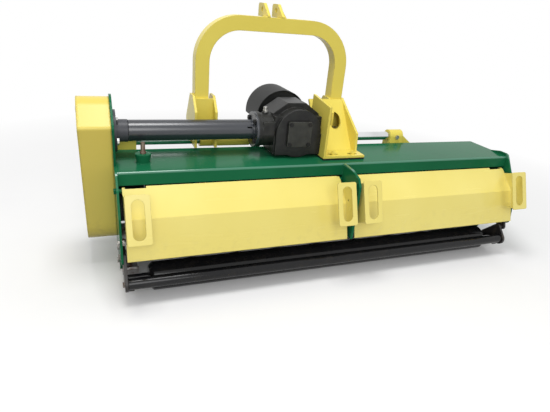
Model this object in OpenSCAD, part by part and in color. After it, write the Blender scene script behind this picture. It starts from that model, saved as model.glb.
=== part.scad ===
// Rear flail mower with a sliding three-point headstock, in millimetres, +Z up.
// Y points forward to the tractor and X to the right, seen from behind the machine.

/* [Deck] */
// Clear width between the two side plates
deck_w = 1766; // [1200:2:2200]
// Thickness of the side plates
plate_t = 8; // [5:0.5:14]
// Thickness of the folded deck sheet
sheet_t = 5; // [3:0.5:8]
// Height of the deck's flat top over the ground
deck_z = 453; // [440:1:480]
// Rear edge of the deck, forward of the handles' lower edge
deck_rear_y = 197; // [185:1:215]
// Fold where the flat top ends and the front slope begins
deck_front_y = 450; // [430:1:455]
// Drop of the vertical rear flange
rear_flange = 49; // [40:1:50]
// Outside bend radius of the deck's rear fold
fold_r = 8; // [6:0.5:12]
// Forward distance from the rotor's axis to the hood's front edge
hood_run = 215; // [200:1:250]
// Height of the hood's front edge
hood_z = 375; // [365:1:385]
// Drop of the vertical front lip
hood_lip = 70; // [40:1:90]

/* [Side plates] */
// Rear edge of a side plate below the deck, forward distance of the upper knee
knee_y = 137; // [125:1:150]
// Height of the upper knee
knee_z = 407; // [395:1:415]
// Forward distance of the hip
hip_y = 98; // [90:1:105]
// Height of the hip
hip_z = 321; // [310:1:330]
// Forward distance of the lower rear corner
heel_y = 75; // [66:1:84]
// Height of the lower rear corner
heel_z = 150; // [140:1:165]
// Forward end of the lower rear edge
belly_y = 205; // [198:1:230]
// Height of the plate's lower edge over the ground
sill_z = 24; // [16:1:34]
// Rear end of the sill
sill_rear_y = 262; // [250:1:280]
// Front end of the sill
sill_front_y = 590; // [560:1:600]
// Height where the front edge starts
toe_z = 110; // [80:1:140]
// Corner radius of the side plates
plate_r = 20; // [8:1:24]
// Rise of the right plate's rear corner over the deck
tab_h = 13; // [8:1:18]
// Forward end of the right plate's raised top edge
tab_y = 248; // [236:1:260]
// Forward distance where that edge meets the deck
tab_front_y = 304; // [290:1:320]
// Knee of the right plate's rear edge, forward distance
right_knee_y = 153; // [145:1:160]
// Knee of the right plate's rear edge, height
right_knee_z = 394; // [385:1:402]

/* [Runners] */
// Width of a runner's sole
sole_w = 60; // [40:1:80]
// Thickness of a runner's sole and web
sole_t = 8; // [5:0.5:10]
// Height of a runner's web
web_h = 74; // [60:1:90]
// Rise of the sole's upturned ends
sole_rise = 44; // [30:1:60]
// Length of the upturned ends
sole_end = 34; // [20:1:40]

/* [Doors] */
// Sheet thickness of the rear doors
door_t = 4; // [3:0.5:6]
// Gap between the two doors
door_gap = 34; // [28:1:44]
// Gap between a door and its side plate
door_side_gap = 12; // [6:0.5:20]
// Top edge of a door, forward distance
door_top_y = 194; // [190:1:196]
// Top edge of a door, height
door_top_z = 401; // [395:1:401]
// Crease of a door, forward distance
crease_y = 105; // [98:1:110]
// Crease of a door, height
crease_z = 315; // [308:1:325]
// Bottom edge of a door, forward distance
door_low_y = 58; // [54:1:66]
// Bottom edge of a door, height
door_low_z = 178; // [172:1:190]
// Distance of the hinge axis below the door sheet
hinge_drop = 16; // [14:0.5:20]
// Distance of the hinge axis from the door's top edge, along the sheet
hinge_back = 8; // [6:0.5:12]
// Radius of the hinge bolts
hinge_r = 8; // [6:0.5:10]
// Thickness of the hinge ears
ear_t = 10; // [8:0.5:14]
// Radius of the hinge ears
ear_r = 13; // [12:0.5:14]
// Cut of a door's upper corner beside the divider
door_corner = 14; // [8:1:18]

/* [Handles] */
// Width of a handle plate
handle_w = 81; // [70:1:95]
// Length of a handle plate
handle_h = 168; // [150:1:180]
// Thickness of handle plates and webs
handle_t = 5; // [4:0.5:8]
// Height of a handle plate's lower edge
handle_z = 270; // [262:1:280]
// Lean of the handle plates from upright
handle_lean = 22.5; // [16:0.5:26]
// Width of the finger slot
slot_w = 41; // [32:1:46]
// Length of the finger slot
slot_h = 135; // [110:1:140]
// Corner radius of a handle plate
handle_r = 8; // [4:0.5:12]
// Drop of a handle web's lower corner below the handle
web_drop = 34; // [20:1:44]
// Radius of the hole in a handle web
web_hole_r = 5; // [4:0.5:7]

/* [Centre divider] */
// Thickness of the divider between the doors
divider_t = 10; // [8:0.5:12]
// Rearmost edge of the divider
divider_y = 52; // [46:1:58]
// Front edge of the divider under the deck
divider_front_y = 250; // [235:1:258]

/* [Belt drive] */
// Height of the drive shaft
drive_z = 554; // [545:1:565]
// Forward distance of the drive shaft
drive_y = 365; // [355:1:372]
// Height of the rotor shaft
rotor_z = 215; // [208:1:222]
// Forward distance of the rotor shaft
rotor_y = 440; // [430:1:446]
// Radius of both belt pulleys at the rim
pulley_r = 92; // [80:1:96]
// Width of a pulley
pulley_w = 64; // [56:1:70]
// Space between the side plate and the pulleys
pulley_gap = 18; // [14:1:24]
// Pitch of the belts
belt_pitch = 19; // [17:0.5:20]
// Top width of a belt
belt_w = 13; // [11:0.5:14]
// Thickness of a belt
belt_t = 8; // [7:0.5:9]
// Space between a belt and the groove it runs in
belt_gap = 0.4; // [0.3:0.05:0.6]
// Radius of the belt tensioner's wheel
idler_r = 34; // [30:1:38]
// Radius of the tensioner's pin
idler_pin_r = 10; // [8:0.5:12]

/* [Belt guard] */
// Height of the guard's top over the drive shaft
guard_top_r = 122; // [116:1:130]
// Radius of the guard's top
guard_cap_r = 80; // [70:1:90]
// Radius of the guard's front, round a centre ahead of the drive shaft
guard_front_r = 118; // [114:1:122]
// Distance of that centre ahead of the drive shaft
guard_ahead = 14; // [10:1:20]
// Forward distance of the guard's rear fold
guard_fold_y = 259; // [254:1:262]
// Height of the guard's rear fold
guard_fold_z = 590; // [580:1:600]
// Radius of the guard's rear fold
guard_fold_r = 14; // [10:0.5:18]
// Radius of the guard round the rotor pulley
guard_low_r = 116; // [112:1:124]
// Depth of the guard
guard_w = 108; // [104:1:116]
// Wall of the guard
guard_t = 3; // [2:0.5:5]
// Margin of the back plate round the guard
guard_margin = 9; // [6:1:14]
// Turn of the guard's studs towards the front, in degrees
stud_turn = 60; // [50:1:65]

/* [Rotor] */
// Radius of the rotor tube
rotor_r = 57; // [50:1:60]
// Wall of the rotor tube
rotor_t = 8; // [6:0.5:10]
// Gap between the rotor tube's ends and the side plates
rotor_end = 52; // [48:1:60]
// Radius of the rotor's stub shafts
stub_r = 20; // [18:1:22]
// Radius of the flail pivots about the rotor's axis
pivot_r = 92; // [90:1:96]
// Radius of a flail's pivot bolt
flail_bolt_r = 7; // [6:0.5:8]
// Length of a flail below its pivot
flail_l = 76; // [70:1:80]
// Width of a flail's head along the rotor
flail_w = 56; // [48:1:60]
// Thickness of a flail's head
flail_t = 34; // [28:1:36]
// Width of a flail's shank along the rotor
shank_w = 22; // [18:0.5:24]
// Thickness of the flail lugs on the rotor
lug_t = 9; // [7:0.5:10]
// Radius of the lugs' rounded ends
lug_r = 17; // [15:0.5:18]
// Radius of the rotor's bearing housings
bearing_r = 60; // [54:1:66]
// Depth of the rotor's bearing housings
bearing_w = 34; // [28:1:38]

/* [Headstock] */
// Sideways place of the gearbox's input shaft from the deck's middle
gearbox_x = -180; // [-190:1:-170]
// Sideways place of the hoop's middle from the deck's middle
hoop_x = -236; // [-246:1:-228]
// Distance between the hoop's leg axes
hoop_w = 604; // [590:1:620]
// Width of the hoop's square tube
hoop_tube = 55; // [50:1:58]
// Wall of the hoop's square tube
hoop_wall = 5; // [4:0.5:8]
// Bend radius of the hoop on its centre line
hoop_bend = 150; // [130:1:170]
// Height of the hoop's top
hoop_top_z = 972; // [940:1:1000]
// Lower ends of the hoop's legs
hoop_low_z = 545; // [535:1:560]
// Forward distance of the hoop's legs and of the slide rail
hoop_y = 495; // [490:1:500]

/* [Slide] */
// Height of the slide rail's axis
rail_z = 478; // [475:1:482]
// Radius of the slide rail
rail_r = 20; // [18:0.5:21]
// Outside radius of the slide sleeves
sleeve_r = 30; // [28:0.5:31]
// Left end of the left sleeve
sleeve_left_x = -541; // [-560:1:-530]
// Right end of the left sleeve
sleeve_mid_x = -323; // [-340:1:-310]
// Right end of the right sleeve
sleeve_right_x = 200; // [190:1:210]
// Length of the bushes in the sleeves
bush_l = 40; // [30:1:50]
// Length of the rail's right holder
holder_l = 72; // [60:1:80]
// Length of the rail's left holder
holder_left_l = 86; // [70:1:95]
// Sideways travel of the headstock
slide_travel = 150; // [100:1:160]
// Free rail beyond the headstock's travel
slide_spare = 46; // [40:1:60]

/* [Feet] */
// Thickness of the feet's plates
foot_t = 10; // [8:0.5:11]
// Distance between the left foot's plates, over the leg
foot_gap = 82; // [76:1:96]
// Lower edge of the feet's plates over the deck
foot_lift = 12; // [10:1:14]
// Top of the feet's plates on the legs
foot_top_z = 664; // [650:1:680]
// Front of the feet's plates, where the hitch pins sit
foot_front_y = 600; // [592:1:612]
// Rear end of the right foot's flange and wall
flange_rear_y = 240; // [234:1:250]
// Front end of the right foot's flange
flange_front_y = 362; // [352:1:372]
// Thickness of the slide pad under the flange
pad_t = 7; // [6:0.5:9]
// Gap between the slide pad and the deck
pad_gap = 0.4; // [0.3:0.05:0.6]
// Right end of the flange beyond the right leg
flange_over = 22; // [16:1:30]
// Top of the right foot's wall at its rear corner
wall_rear_z = 672; // [660:1:684]
// Top of the right foot's wall at its front corner
wall_front_z = 692; // [684:1:704]
// Half width of the oval hole in the right foot's leaning plate
oval_r = 27.5; // [20:0.5:28]
// Straight length of the oval hole
oval_h = 10; // [6:0.5:14]
// Drop of the oval hole's middle from the foot's top
oval_drop = 85; // [76:1:92]
// Sideways place of the oval hole from the deck's middle
oval_x = 38; // [20:1:48]
// Forward distance of the right gusset's knee
gusset_y = 296; // [284:1:310]
// Height of the right gusset's knee
gusset_z = 548; // [536:1:560]
// Forward distance of the leaning plate's foot
lean_y = 322; // [312:1:332]
// Forward distance of the flange's bolts
foot_bolt_y = 266; // [262:1:272]
// Length of the slots under those bolts
foot_slot_l = 46; // [40:1:48]
// Half width of the slots
foot_slot_r = 8; // [7:0.5:8.5]
// Front of the right foot's wall at its top
wall_front_y = 400; // [392:1:410]

/* [Hitch] */
// Height of the lower hitch pins
hitch_z = 520; // [512:1:530]
// Radius of the lower hitch pins
hitch_r = 11; // [9:0.5:14]
// Radius of a lower hitch pin inside the foot
hitch_root_r = 14; // [12:0.5:16]
// Free length of a lower hitch pin
hitch_l = 70; // [60:1:80]
// Height of the top link hole
link_z = 998; // [992:1:1006]
// Radius of the top link hole
link_r = 9.6; // [9:0.1:12.8]
// Clear space between the top link lugs
link_gap = 48; // [44.5:0.5:54]
// Thickness of a top link lug
link_t = 12; // [10:0.5:14]
// Distance of the top link hole ahead of the hoop's middle
link_ahead = 45; // [36:1:52]
// Reach of a top link lug ahead of the hoop's middle
link_reach = 92; // [84:1:100]
// Sideways place of the lugs from the hoop's middle
link_x = -12; // [-30:1:10]

/* [Gearbox] */
// Half width of the gearbox casting
box_half = 101; // [99:1:104]
// Inset of the gearbox's round body from its flanks
round_in = 4; // [3:0.5:9]
// Rear face of the gearbox casting
box_rear_y = 284; // [280:1:288]
// Front face of the gearbox casting
box_front_y = 448; // [444:1:454]
// Height of the gearbox's base over the deck
box_lift = 14; // [12:1:18]
// Wall of the gearbox casting
box_t = 9; // [8:0.5:11]
// Side of the square rear cover
cover_w = 102; // [96:1:108]
// Thickness of the rear cover
cover_t = 12; // [9:0.5:14]
// Radius of the side neck
neck_r = 66; // [62:0.5:68]
// Length of the side neck
neck_l = 62; // [56:1:70]
// Radius of the side neck's flange
neck_flange_r = 71; // [69:0.5:76]
// Thickness of the side neck's flange
neck_flange_t = 15; // [12:0.5:18]
// Length of the input neck
snout_l = 24; // [20:1:30]
// Radius of the input neck
snout_r = 48; // [46:0.5:50]
// Radius of the bearing seats in both necks
seat_r = 38; // [36:0.5:40]
// Half width of the saddle's flat top
saddle_half = 40; // [30:1:50]
// Height of the saddle over the shafts
saddle_h = 114; // [108:1:118]
// Height of the saddle's shoulders over the shafts
shoulder_h = 72; // [66:1:80]
// Module of the bevel gears
gear_m = 3.4; // [3.2:0.1:3.5]
// Radius of the input shaft's spline
spline_r = 17.4; // [16:0.1:18]
// Length of the input shaft beyond the neck
spline_l = 88; // [76:1:100]
// Radius of the gearbox shafts in their bearings
shaft_r = 20; // [18:0.5:22]

/* [Cross shaft] */
// Outside radius of the moving guard tube
tube_r = 39; // [37.5:0.5:41]
// Wall of the guard tubes
tube_t = 4; // [3:0.5:5]
// Outside radius of the fixed inner tube
inner_r = 33; // [32:0.5:34]
// Length of the fixed collar on the side plate
collar_l = 50; // [44:1:60]
// Outside radius of the fixed collar
collar_r = 41; // [40:0.5:44]
// Radius of the collar's flange
flange_r = 76; // [72:1:80]
// Turn of the collar's bolts, in degrees
collar_turn = 25; // [15:1:45]
// Half width of the hexagonal shaft over its flats
hex_r = 14; // [12:0.5:15]
// Outside radius of the driven sleeve
quill_r = 24; // [22:0.5:25]
// Distance from the sliding sleeve's end to the gearbox's neck
quill_gap = 140; // [120:1:160]

/* [Power take-off cowl] */
// Radius of the cowl
cowl_r = 114; // [108:1:118]
// Height of the cowl's axis over the input shaft
cowl_lift = 20; // [14:1:24]
// Height of the cowl's lower edge over the input shaft
cowl_low = 6; // [4:0.5:12]
// Wall of the cowl
cowl_t = 4; // [3:0.5:6]
// Rear rim of the cowl
cowl_rear_y = 486; // [482:1:492]
// Length of the cowl
cowl_l = 160; // [140:1:180]

/* [Rear roller] */
// Radius of the roller
roller_r = 55; // [50:1:58]
// Forward distance of the roller's axis
roller_y = 150; // [144:1:156]
// Distance of the roller's ends from the side plates
roller_end = 88; // [80:1:100]
// Taper of the roller's ends
roller_taper = 16; // [10:1:24]
// Wall of the roller tube
roller_wall = 6; // [4:0.5:8]
// Radius of the roller's axle stubs
axle_r = 14; // [12:0.5:16]
// Radius of the scraper tube
scraper_r = 21; // [18:0.5:23]
// Forward distance of the scraper tube
scraper_y = 70; // [64:1:74]
// Height of the scraper tube
scraper_z = 82; // [76:1:90]
// Thickness of the roller's brackets
bracket_t = 10; // [8:0.5:12]
// Inward step of the right bracket's lower part
bracket_in = 30; // [20:1:36]
// Forward distance of that step
step_y = 98; // [94:1:100]
// Height of that step
step_z = 130; // [126:1:132]
// Radius of the bracket's corner at the step
step_r = 15; // [13:0.5:16]

/* [Front curtain] */
// Thickness of a curtain flap
flap_t = 6; // [4:0.5:8]
// Length of a curtain flap
flap_h = 185; // [160:1:200]
// Radius of the curtain's rod
rod_r = 7; // [6:0.5:8]
// Number of flaps
flap_n = 14; // [8:1:20]

/* [Deck fittings] */
// Sideways distance of the parking socket from the left plate
socket_in = 96; // [80:1:110]
// Forward distance of the parking socket
socket_y = 295; // [280:1:310]
// Radius of the parking socket at its rim
socket_r = 28.5; // [26:0.5:32]
// Radius of the parking socket at its foot
socket_low_r = 23; // [18:0.5:25]
// Height of the parking socket
socket_h = 34; // [28:1:42]
// Radius of the pin in the socket
pin_r = 8; // [7:0.5:10]
// Height of the pin over the deck
pin_h = 76; // [66:1:90]

/* [Fasteners] */
// Radius of the common bolts
bolt_r = 6; // [5:0.5:7]
// Radius of a bolt head over its corners
head_r = 11; // [9:0.5:12]
// Height of a bolt head
head_h = 7.5; // [6:0.5:9]
// Clearance of a running fit, per side
run_gap = 0.08; // [0.05:0.01:0.1]
// Clearance of a seated piece, per side
seat_gap = 0.05; // [0.03:0.01:0.08]
// Clearance of pieces that pass each other
pass_gap = 1; // [0.6:0.1:2]

/* [Hidden] */
// Number of sides of round pieces
fine = 64;
// Number of sides of small round pieces
small = 32;
// Overshoot of cutting shapes
cut = 2;
// Number of crown teeth
crown_n = 36;
// Number of pinion teeth
pinion_n = 12;
// Shares of the tooth pitch at tip, pitch line and root
tooth_shares = [0.12, 0.34, 0.56];
// Shares of the module above and below the pitch line
tooth_height_shares = [0.95, 1.3];
// Share of a tooth's length left at its small end
tooth_taper_share = 0.72;
// Share of the pitch cone at which the crown's disc ends
tooth_deep_share = 1.75;
// Left and right inner faces of the side plates
xl = -deck_w / 2;
xr = deck_w / 2;
// Outer face of the left plate and the guard's outer face
xlo = xl - plate_t;
guard_x = xlo - guard_w;
// Outer ends of the bolts on the right plate
xro = xr + plate_t + head_h;
// Middle of the part's box, which is put on the origin
x_mid = (guard_x - head_h + xro) / 2;
hood_y = rotor_y + hood_run;
front_y = hood_y;
y_mid = front_y / 2;
// Door directions
door_top = [door_top_y, door_top_z];
crease = [crease_y, crease_z];
door_low = [door_low_y, door_low_z];
door_dir = (crease - door_top) / norm(crease - door_top);
door_in = [-door_dir[1], door_dir[0]];
// Hinge axis of the doors
hinge = door_top + hinge_back * door_dir + hinge_drop * door_in;
// Ends of the doors
door_x = [xl + door_side_gap, -door_gap / 2];
// Share of a door's upper facet that a handle web reaches
web_reach_share = 0.75;
// Handle plate corners in the side view
handle_top = [handle_h * sin(handle_lean), handle_z + handle_h * cos(handle_lean)];
handle_low = [0, handle_z];
// Slope of the hood's front
hood_slope = (hood_z - deck_z) / (hood_y - deck_front_y);
// Planes of the pulleys
pulley_x = xlo - pulley_gap - pulley_w;
// Bolt circle of the collar and of the bearing housings
flange_bolt_r = (flange_r + collar_r) / 2;
collar_angles = [for (i = [0:3]) collar_turn + 90 * i];
bearing_bolt_r = bearing_r * 0.78;
// Axis of the headstock legs
leg_left_x = hoop_x - hoop_w / 2;
leg_right_x = hoop_x + hoop_w / 2;
// Inside of the gearbox
box_low_z = deck_z + box_lift;
box_r = box_half - round_in;
wall_x = gearbox_x + box_half;
crown_pitch = gear_m * crown_n / 2;
pinion_pitch = gear_m * pinion_n / 2;
cone = norm([crown_pitch, pinion_pitch]);
tip_angle = atan(gear_m * tooth_height_shares[0] / cone);
root_angle = atan(gear_m * tooth_height_shares[1] / cone);
neck_x = gearbox_x - box_half - neck_l;
// Length of the sliding sleeve from the left plate
quill_l = neck_x - xl - quill_gap;
// Left end of the moving guard tube
tube_x = xl + collar_l + pass_gap;
// Upper and lower faces of the right foot's flange
flange_z = deck_z + pad_gap + pad_t;
foot_z = deck_z + foot_lift;
right_face = leg_right_x + hoop_tube / 2;
// Left face of the rail's right holder
holder_x = sleeve_right_x + slide_travel + slide_spare;
// Height of the oval hole in the right foot
oval_z = foot_top_z - oval_drop;
// Flails
flail_n = 8;
flail_step = (deck_w - 2 * rotor_end) / (3 * flail_n);
lug_gap = shank_w + 2 * pass_gap;
// Curtain
rod_y = hood_y - sheet_t - rod_r - 3 * pass_gap;
rod_z = hood_z - hood_lip - 2 * rod_r;
flap_step = deck_w / flap_n;

// Unit normal on the left of a step from a to b
function nrm(a, b) = [a[1] - b[1], b[0] - a[0]] / norm(b - a);
// Mitred normal at point i of a line
function miter(p, i) =
    i == 0 ? nrm(p[0], p[1]) :
    i == len(p) - 1 ? nrm(p[i - 1], p[i]) :
    let (n = nrm(p[i - 1], p[i]), m = nrm(p[i], p[i + 1])) (n + m) / (1 + n * m);
// Outline of a strip of thickness t on the left of a line
function strip(p, t) = concat(p, [for (i = [len(p) - 1:-1:0]) p[i] + t * miter(p, i)]);
// Height of the hood's front slope at forward distance y
function slope_z(y) = deck_z + hood_slope * (y - deck_front_y);

// Puts the working frame on the part's origin
module frame() {
    translate([-x_mid, -y_mid, 0]) children();
}
// Side-view outline pushed out along X
module along_x(x, w) {
    translate([x, 0, 0]) rotate([90, 0, 90]) linear_extrude(w) children();
}
// Round bar along X
module bar_x(x, y, z, h, r, n = fine) {
    translate([x, y, z]) rotate([0, 90, 0]) cylinder(h = h, r = r, $fn = n);
}
// Round bar along Y
module bar_y(x, y, z, h, r, n = fine) {
    translate([x, y, z]) rotate([-90, 0, 0]) cylinder(h = h, r = r, $fn = n);
}
// Ring along X
module ring_x(x, y, z, h, ro, ri) {
    difference() {
        bar_x(x, y, z, h, ro);
        bar_x(x - cut, y, z, h + 2 * cut, ri);
    }
}
// Ring along Y
module ring_y(x, y, z, h, ro, ri) {
    difference() {
        bar_y(x, y, z, h, ro);
        bar_y(x, y - cut, z, h + 2 * cut, ri);
    }
}
// Box from corner to size
module box(p, s) {
    translate(p) cube(s);
}
// Rounds every corner of an outline
module soft(r) {
    offset(r = r, $fn = small) offset(delta = -r) children();
}
// Bolt along +X: head left of x, shank right of it
module bolt_right(x, y, z, l, r = bolt_r, hr = head_r) {
    bar_x(x - head_h, y, z, head_h, hr, 6);
    bar_x(x - cut, y, z, l + cut, r, small);
}
// Bolt along -X: head right of x, shank left of it
module bolt_left(x, y, z, l, r = bolt_r, hr = head_r) {
    bar_x(x, y, z, head_h, hr, 6);
    bar_x(x - l, y, z, l + cut, r, small);
}

// Outlines in the side view
side_line = [
    [deck_rear_y, deck_z],
    [knee_y, knee_z],
    [hip_y, hip_z],
    [heel_y, heel_z],
    [belly_y, heel_z],
    [sill_rear_y, sill_z],
    [sill_front_y, sill_z],
    [hood_y, toe_z],
    [hood_y, hood_z],
    [deck_front_y, deck_z]
];
deck_line = concat(
    [[deck_rear_y, deck_z - rear_flange]],
    [for (a = [180:-22.5:90]) [deck_rear_y + fold_r * (1 + cos(a)), deck_z - fold_r * (1 - sin(a))]],
    [[deck_front_y, deck_z], [hood_y, hood_z], [hood_y, hood_z - hood_lip]]
);
// The right plate rises over the deck at its rear corner
right_line = concat(
    [[deck_rear_y, deck_z + tab_h], [right_knee_y, right_knee_z]],
    [for (i = [2:len(side_line) - 1]) side_line[i]],
    [[tab_front_y, deck_z], [tab_y, deck_z + tab_h]]
);
door_line = [door_top, crease, door_low];
// Bolt places of the roller's brackets
bracket_bolts = [
    [heel_y + plate_r * 2, heel_z + plate_r],
    [belly_y - plate_r, heel_z + plate_r]
];
// Bolt near the left plate's rear edge
edge_bolt = [heel_y + plate_r * 1.4, heel_z + plate_r * 4];
runner_bolts = [
    [sill_rear_y + web_h / 2, sill_z + web_h / 3],
    [sill_front_y - web_h / 2, sill_z + web_h / 3]
];

module guard_outline(grow) {
    hull() {
        translate([drive_y, drive_z + guard_top_r - guard_cap_r]) circle(guard_cap_r + grow, $fn = fine);
        translate([drive_y + guard_ahead, drive_z]) circle(guard_front_r + grow, $fn = fine);
        translate([guard_fold_y, guard_fold_z]) circle(guard_fold_r + grow, $fn = fine);
        translate([rotor_y, rotor_z]) circle(guard_low_r + grow, $fn = fine);
    }
}
module plate_holes(r) {
    translate(hinge) circle(hinge_r + seat_gap, $fn = small);
    translate([rotor_y, rotor_z]) circle(stub_r + r, $fn = fine);
    for (p = concat(bracket_bolts, runner_bolts)) translate(p) circle(bolt_r + seat_gap, $fn = small);
    for (a = [45:90:315])
        translate([rotor_y + bearing_bolt_r * cos(a), rotor_z + bearing_bolt_r * sin(a)])
            circle(bolt_r + seat_gap, $fn = small);
}

// Deck

module deck() {
    color("darkgreen") frame()
    difference() {
        along_x(xl, deck_w) polygon(strip(deck_line, -sheet_t));
        // Hole that drains the socket
        translate([xl + socket_in, socket_y, deck_z - sheet_t - cut])
            cylinder(h = sheet_t + 2 * cut, r = pin_r + seat_gap, $fn = small);
    }
}
module left_side_plate() {
    color("darkgreen") frame()
    along_x(xlo, plate_t) difference() {
        union() {
            soft(plate_r) polygon(side_line);
            guard_outline(guard_margin);
        }
        plate_holes(pass_gap);
        translate(edge_bolt) circle(bolt_r + seat_gap, $fn = small);
        translate([drive_y, drive_z]) circle(quill_r + 2 * pass_gap, $fn = fine);
        for (a = collar_angles)
            translate([drive_y + flange_bolt_r * cos(a), drive_z + flange_bolt_r * sin(a)])
                circle(bolt_r + seat_gap, $fn = small);
        translate(idler_at) circle(idler_pin_r + seat_gap, $fn = small);
    }
}
module right_side_plate() {
    color("darkgreen") frame()
    along_x(xr, plate_t) difference() {
        soft(plate_r) polygon(right_line);
        plate_holes(pass_gap);
    }
}
module centre_divider() {
    color("darkgreen") frame()
    along_x(-divider_t / 2, divider_t) difference() {
        polygon([
            [deck_rear_y, deck_z],
            [(deck_rear_y + divider_y) / 2, deck_z - door_t],
            [divider_y + plate_r, deck_z - plate_r],
            [divider_y, deck_z - rear_flange],
            [door_low_y - door_t, door_low_z],
            [crease_y, door_low_z],
            [divider_front_y, crease_z],
            [divider_front_y, deck_z - sheet_t],
            [deck_rear_y + fold_r, deck_z - sheet_t],
            [deck_rear_y + sheet_t, deck_z - fold_r],
            [deck_rear_y + sheet_t, deck_z - rear_flange],
            [deck_rear_y, deck_z - rear_flange]
        ]);
        translate(hinge) circle(hinge_r + seat_gap, $fn = small);
    }
}
module runner(x, way) {
    along_x(way > 0 ? x : x - sole_t, sole_t) difference() {
        polygon([
            [sill_rear_y, sole_t],
            [sill_front_y, sole_t],
            [sill_front_y, web_h],
            [sill_rear_y, web_h]
        ]);
        for (p = runner_bolts) translate(p) circle(bolt_r + seat_gap, $fn = small);
    }
    along_x(way > 0 ? x : x - sole_w, sole_w) polygon(strip([
        [sill_rear_y - sole_end, sole_rise],
        [sill_rear_y, 0],
        [sill_front_y, 0],
        [sill_front_y + sole_end, sole_rise]
    ], sole_t));
}
module runners() {
    color("dimgray") frame() {
        runner(xl, 1);
        runner(xr, -1);
    }
}
module plate_bolts() {
    color("silver") frame() {
        for (p = bracket_bolts) {
            bolt_right(xlo, p[0], p[1], plate_t + bracket_t);
            bolt_left(xr + plate_t, p[0], p[1], plate_t + bracket_t);
        }
        bolt_right(xlo, edge_bolt[0], edge_bolt[1], plate_t + head_h);
        bar_x(xl, edge_bolt[0], edge_bolt[1], head_h, head_r, 6);
        // Bolts into the ends of the scraper tube
        bolt_right(xl, scraper_y, scraper_z, 2 * bracket_t);
        bolt_left(xr - bracket_in, scraper_y, scraper_z, 2 * bracket_t);
        for (p = runner_bolts) {
            bolt_right(xlo, p[0], p[1], plate_t + sole_t);
            bolt_left(xr + plate_t, p[0], p[1], plate_t + sole_t);
        }
    }
}
module parking_socket() {
    color("darkgreen") frame()
    translate([xl + socket_in, socket_y, deck_z]) difference() {
        cylinder(h = socket_h, r1 = socket_low_r, r2 = socket_r, $fn = fine);
        translate([0, 0, -cut]) cylinder(h = socket_h + 2 * cut, r = pin_r + seat_gap, $fn = small);
    }
}
module socket_pin() {
    color("sienna") frame()
    translate([xl + socket_in, socket_y, deck_z]) {
        translate([0, 0, -sheet_t]) cylinder(h = pin_h + sheet_t, r = pin_r, $fn = small);
        translate([0, 0, socket_h]) cylinder(h = head_h, r = head_r, $fn = 6);
    }
}

// Belt drive

idler_at = [
    (drive_y + rotor_y) / 2 - (pulley_r - belt_t - idler_r - 2 * belt_gap) * (drive_z - rotor_z)
        / norm([drive_y - rotor_y, drive_z - rotor_z]),
    (drive_z + rotor_z) / 2 - (pulley_r - belt_t - idler_r - 2 * belt_gap) * (rotor_y - drive_y)
        / norm([drive_y - rotor_y, drive_z - rotor_z])
];

// Half outline of a grooved pulley, radius against width
function groove(x) = [
    [pulley_r, x - belt_w / 2 - belt_gap],
    [pulley_r - belt_t - belt_gap, x - belt_w / 3 - belt_gap],
    [pulley_r - belt_t - belt_gap, x + belt_w / 3 + belt_gap],
    [pulley_r, x + belt_w / 2 + belt_gap]
];
module pulley_body(bore) {
    rotate_extrude($fn = fine) polygon(concat(
        [[bore, 0], [pulley_r, 0]],
        groove(pulley_w / 2 - belt_pitch),
        groove(pulley_w / 2),
        groove(pulley_w / 2 + belt_pitch),
        [[pulley_r, pulley_w], [bore, pulley_w]]
    ));
}
module drive_pulley() {
    color("dimgray") frame()
    translate([pulley_x, drive_y, drive_z]) rotate([0, 90, 0]) pulley_body(quill_r + seat_gap);
}
module rotor_pulley() {
    color("dimgray") frame()
    translate([pulley_x, rotor_y, rotor_z]) rotate([0, 90, 0]) pulley_body(stub_r + seat_gap);
}
module belt_outline(r) {
    hull() {
        translate([drive_y, drive_z]) circle(r, $fn = fine);
        translate([rotor_y, rotor_z]) circle(r, $fn = fine);
    }
}
module drive_belts() {
    color("black") frame()
    for (i = [-1:1]) along_x(pulley_x + pulley_w / 2 + i * belt_pitch - belt_w / 3, belt_w * 2 / 3)
        difference() {
            belt_outline(pulley_r);
            belt_outline(pulley_r - belt_t);
        }
}
module belt_tensioner() {
    color("silver") frame() {
        bar_x(pulley_x - pass_gap, idler_at[0], idler_at[1], pulley_w + pulley_gap + plate_t + pass_gap,
            idler_pin_r);
        bar_x(xlo - pulley_gap + 2 * pass_gap, idler_at[0], idler_at[1], pulley_gap - 2 * pass_gap,
            idler_pin_r * 1.6);
        bar_x(pulley_x - pass_gap - head_h, idler_at[0], idler_at[1], head_h, idler_pin_r * 1.6, 6);
    }
}
module idler_wheel() {
    color("dimgray") frame()
    ring_x(pulley_x, idler_at[0], idler_at[1], pulley_w, idler_r, idler_pin_r + run_gap);
}
module guard_studs() {
    color("silver") frame() {
        for (p = guard_stud_at) {
            bar_x(guard_x - cut, p[0], p[1], guard_w + cut, bolt_r, small);
            bar_x(guard_x - head_h, p[0], p[1], head_h, head_r, 6);
        }
    }
}
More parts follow.
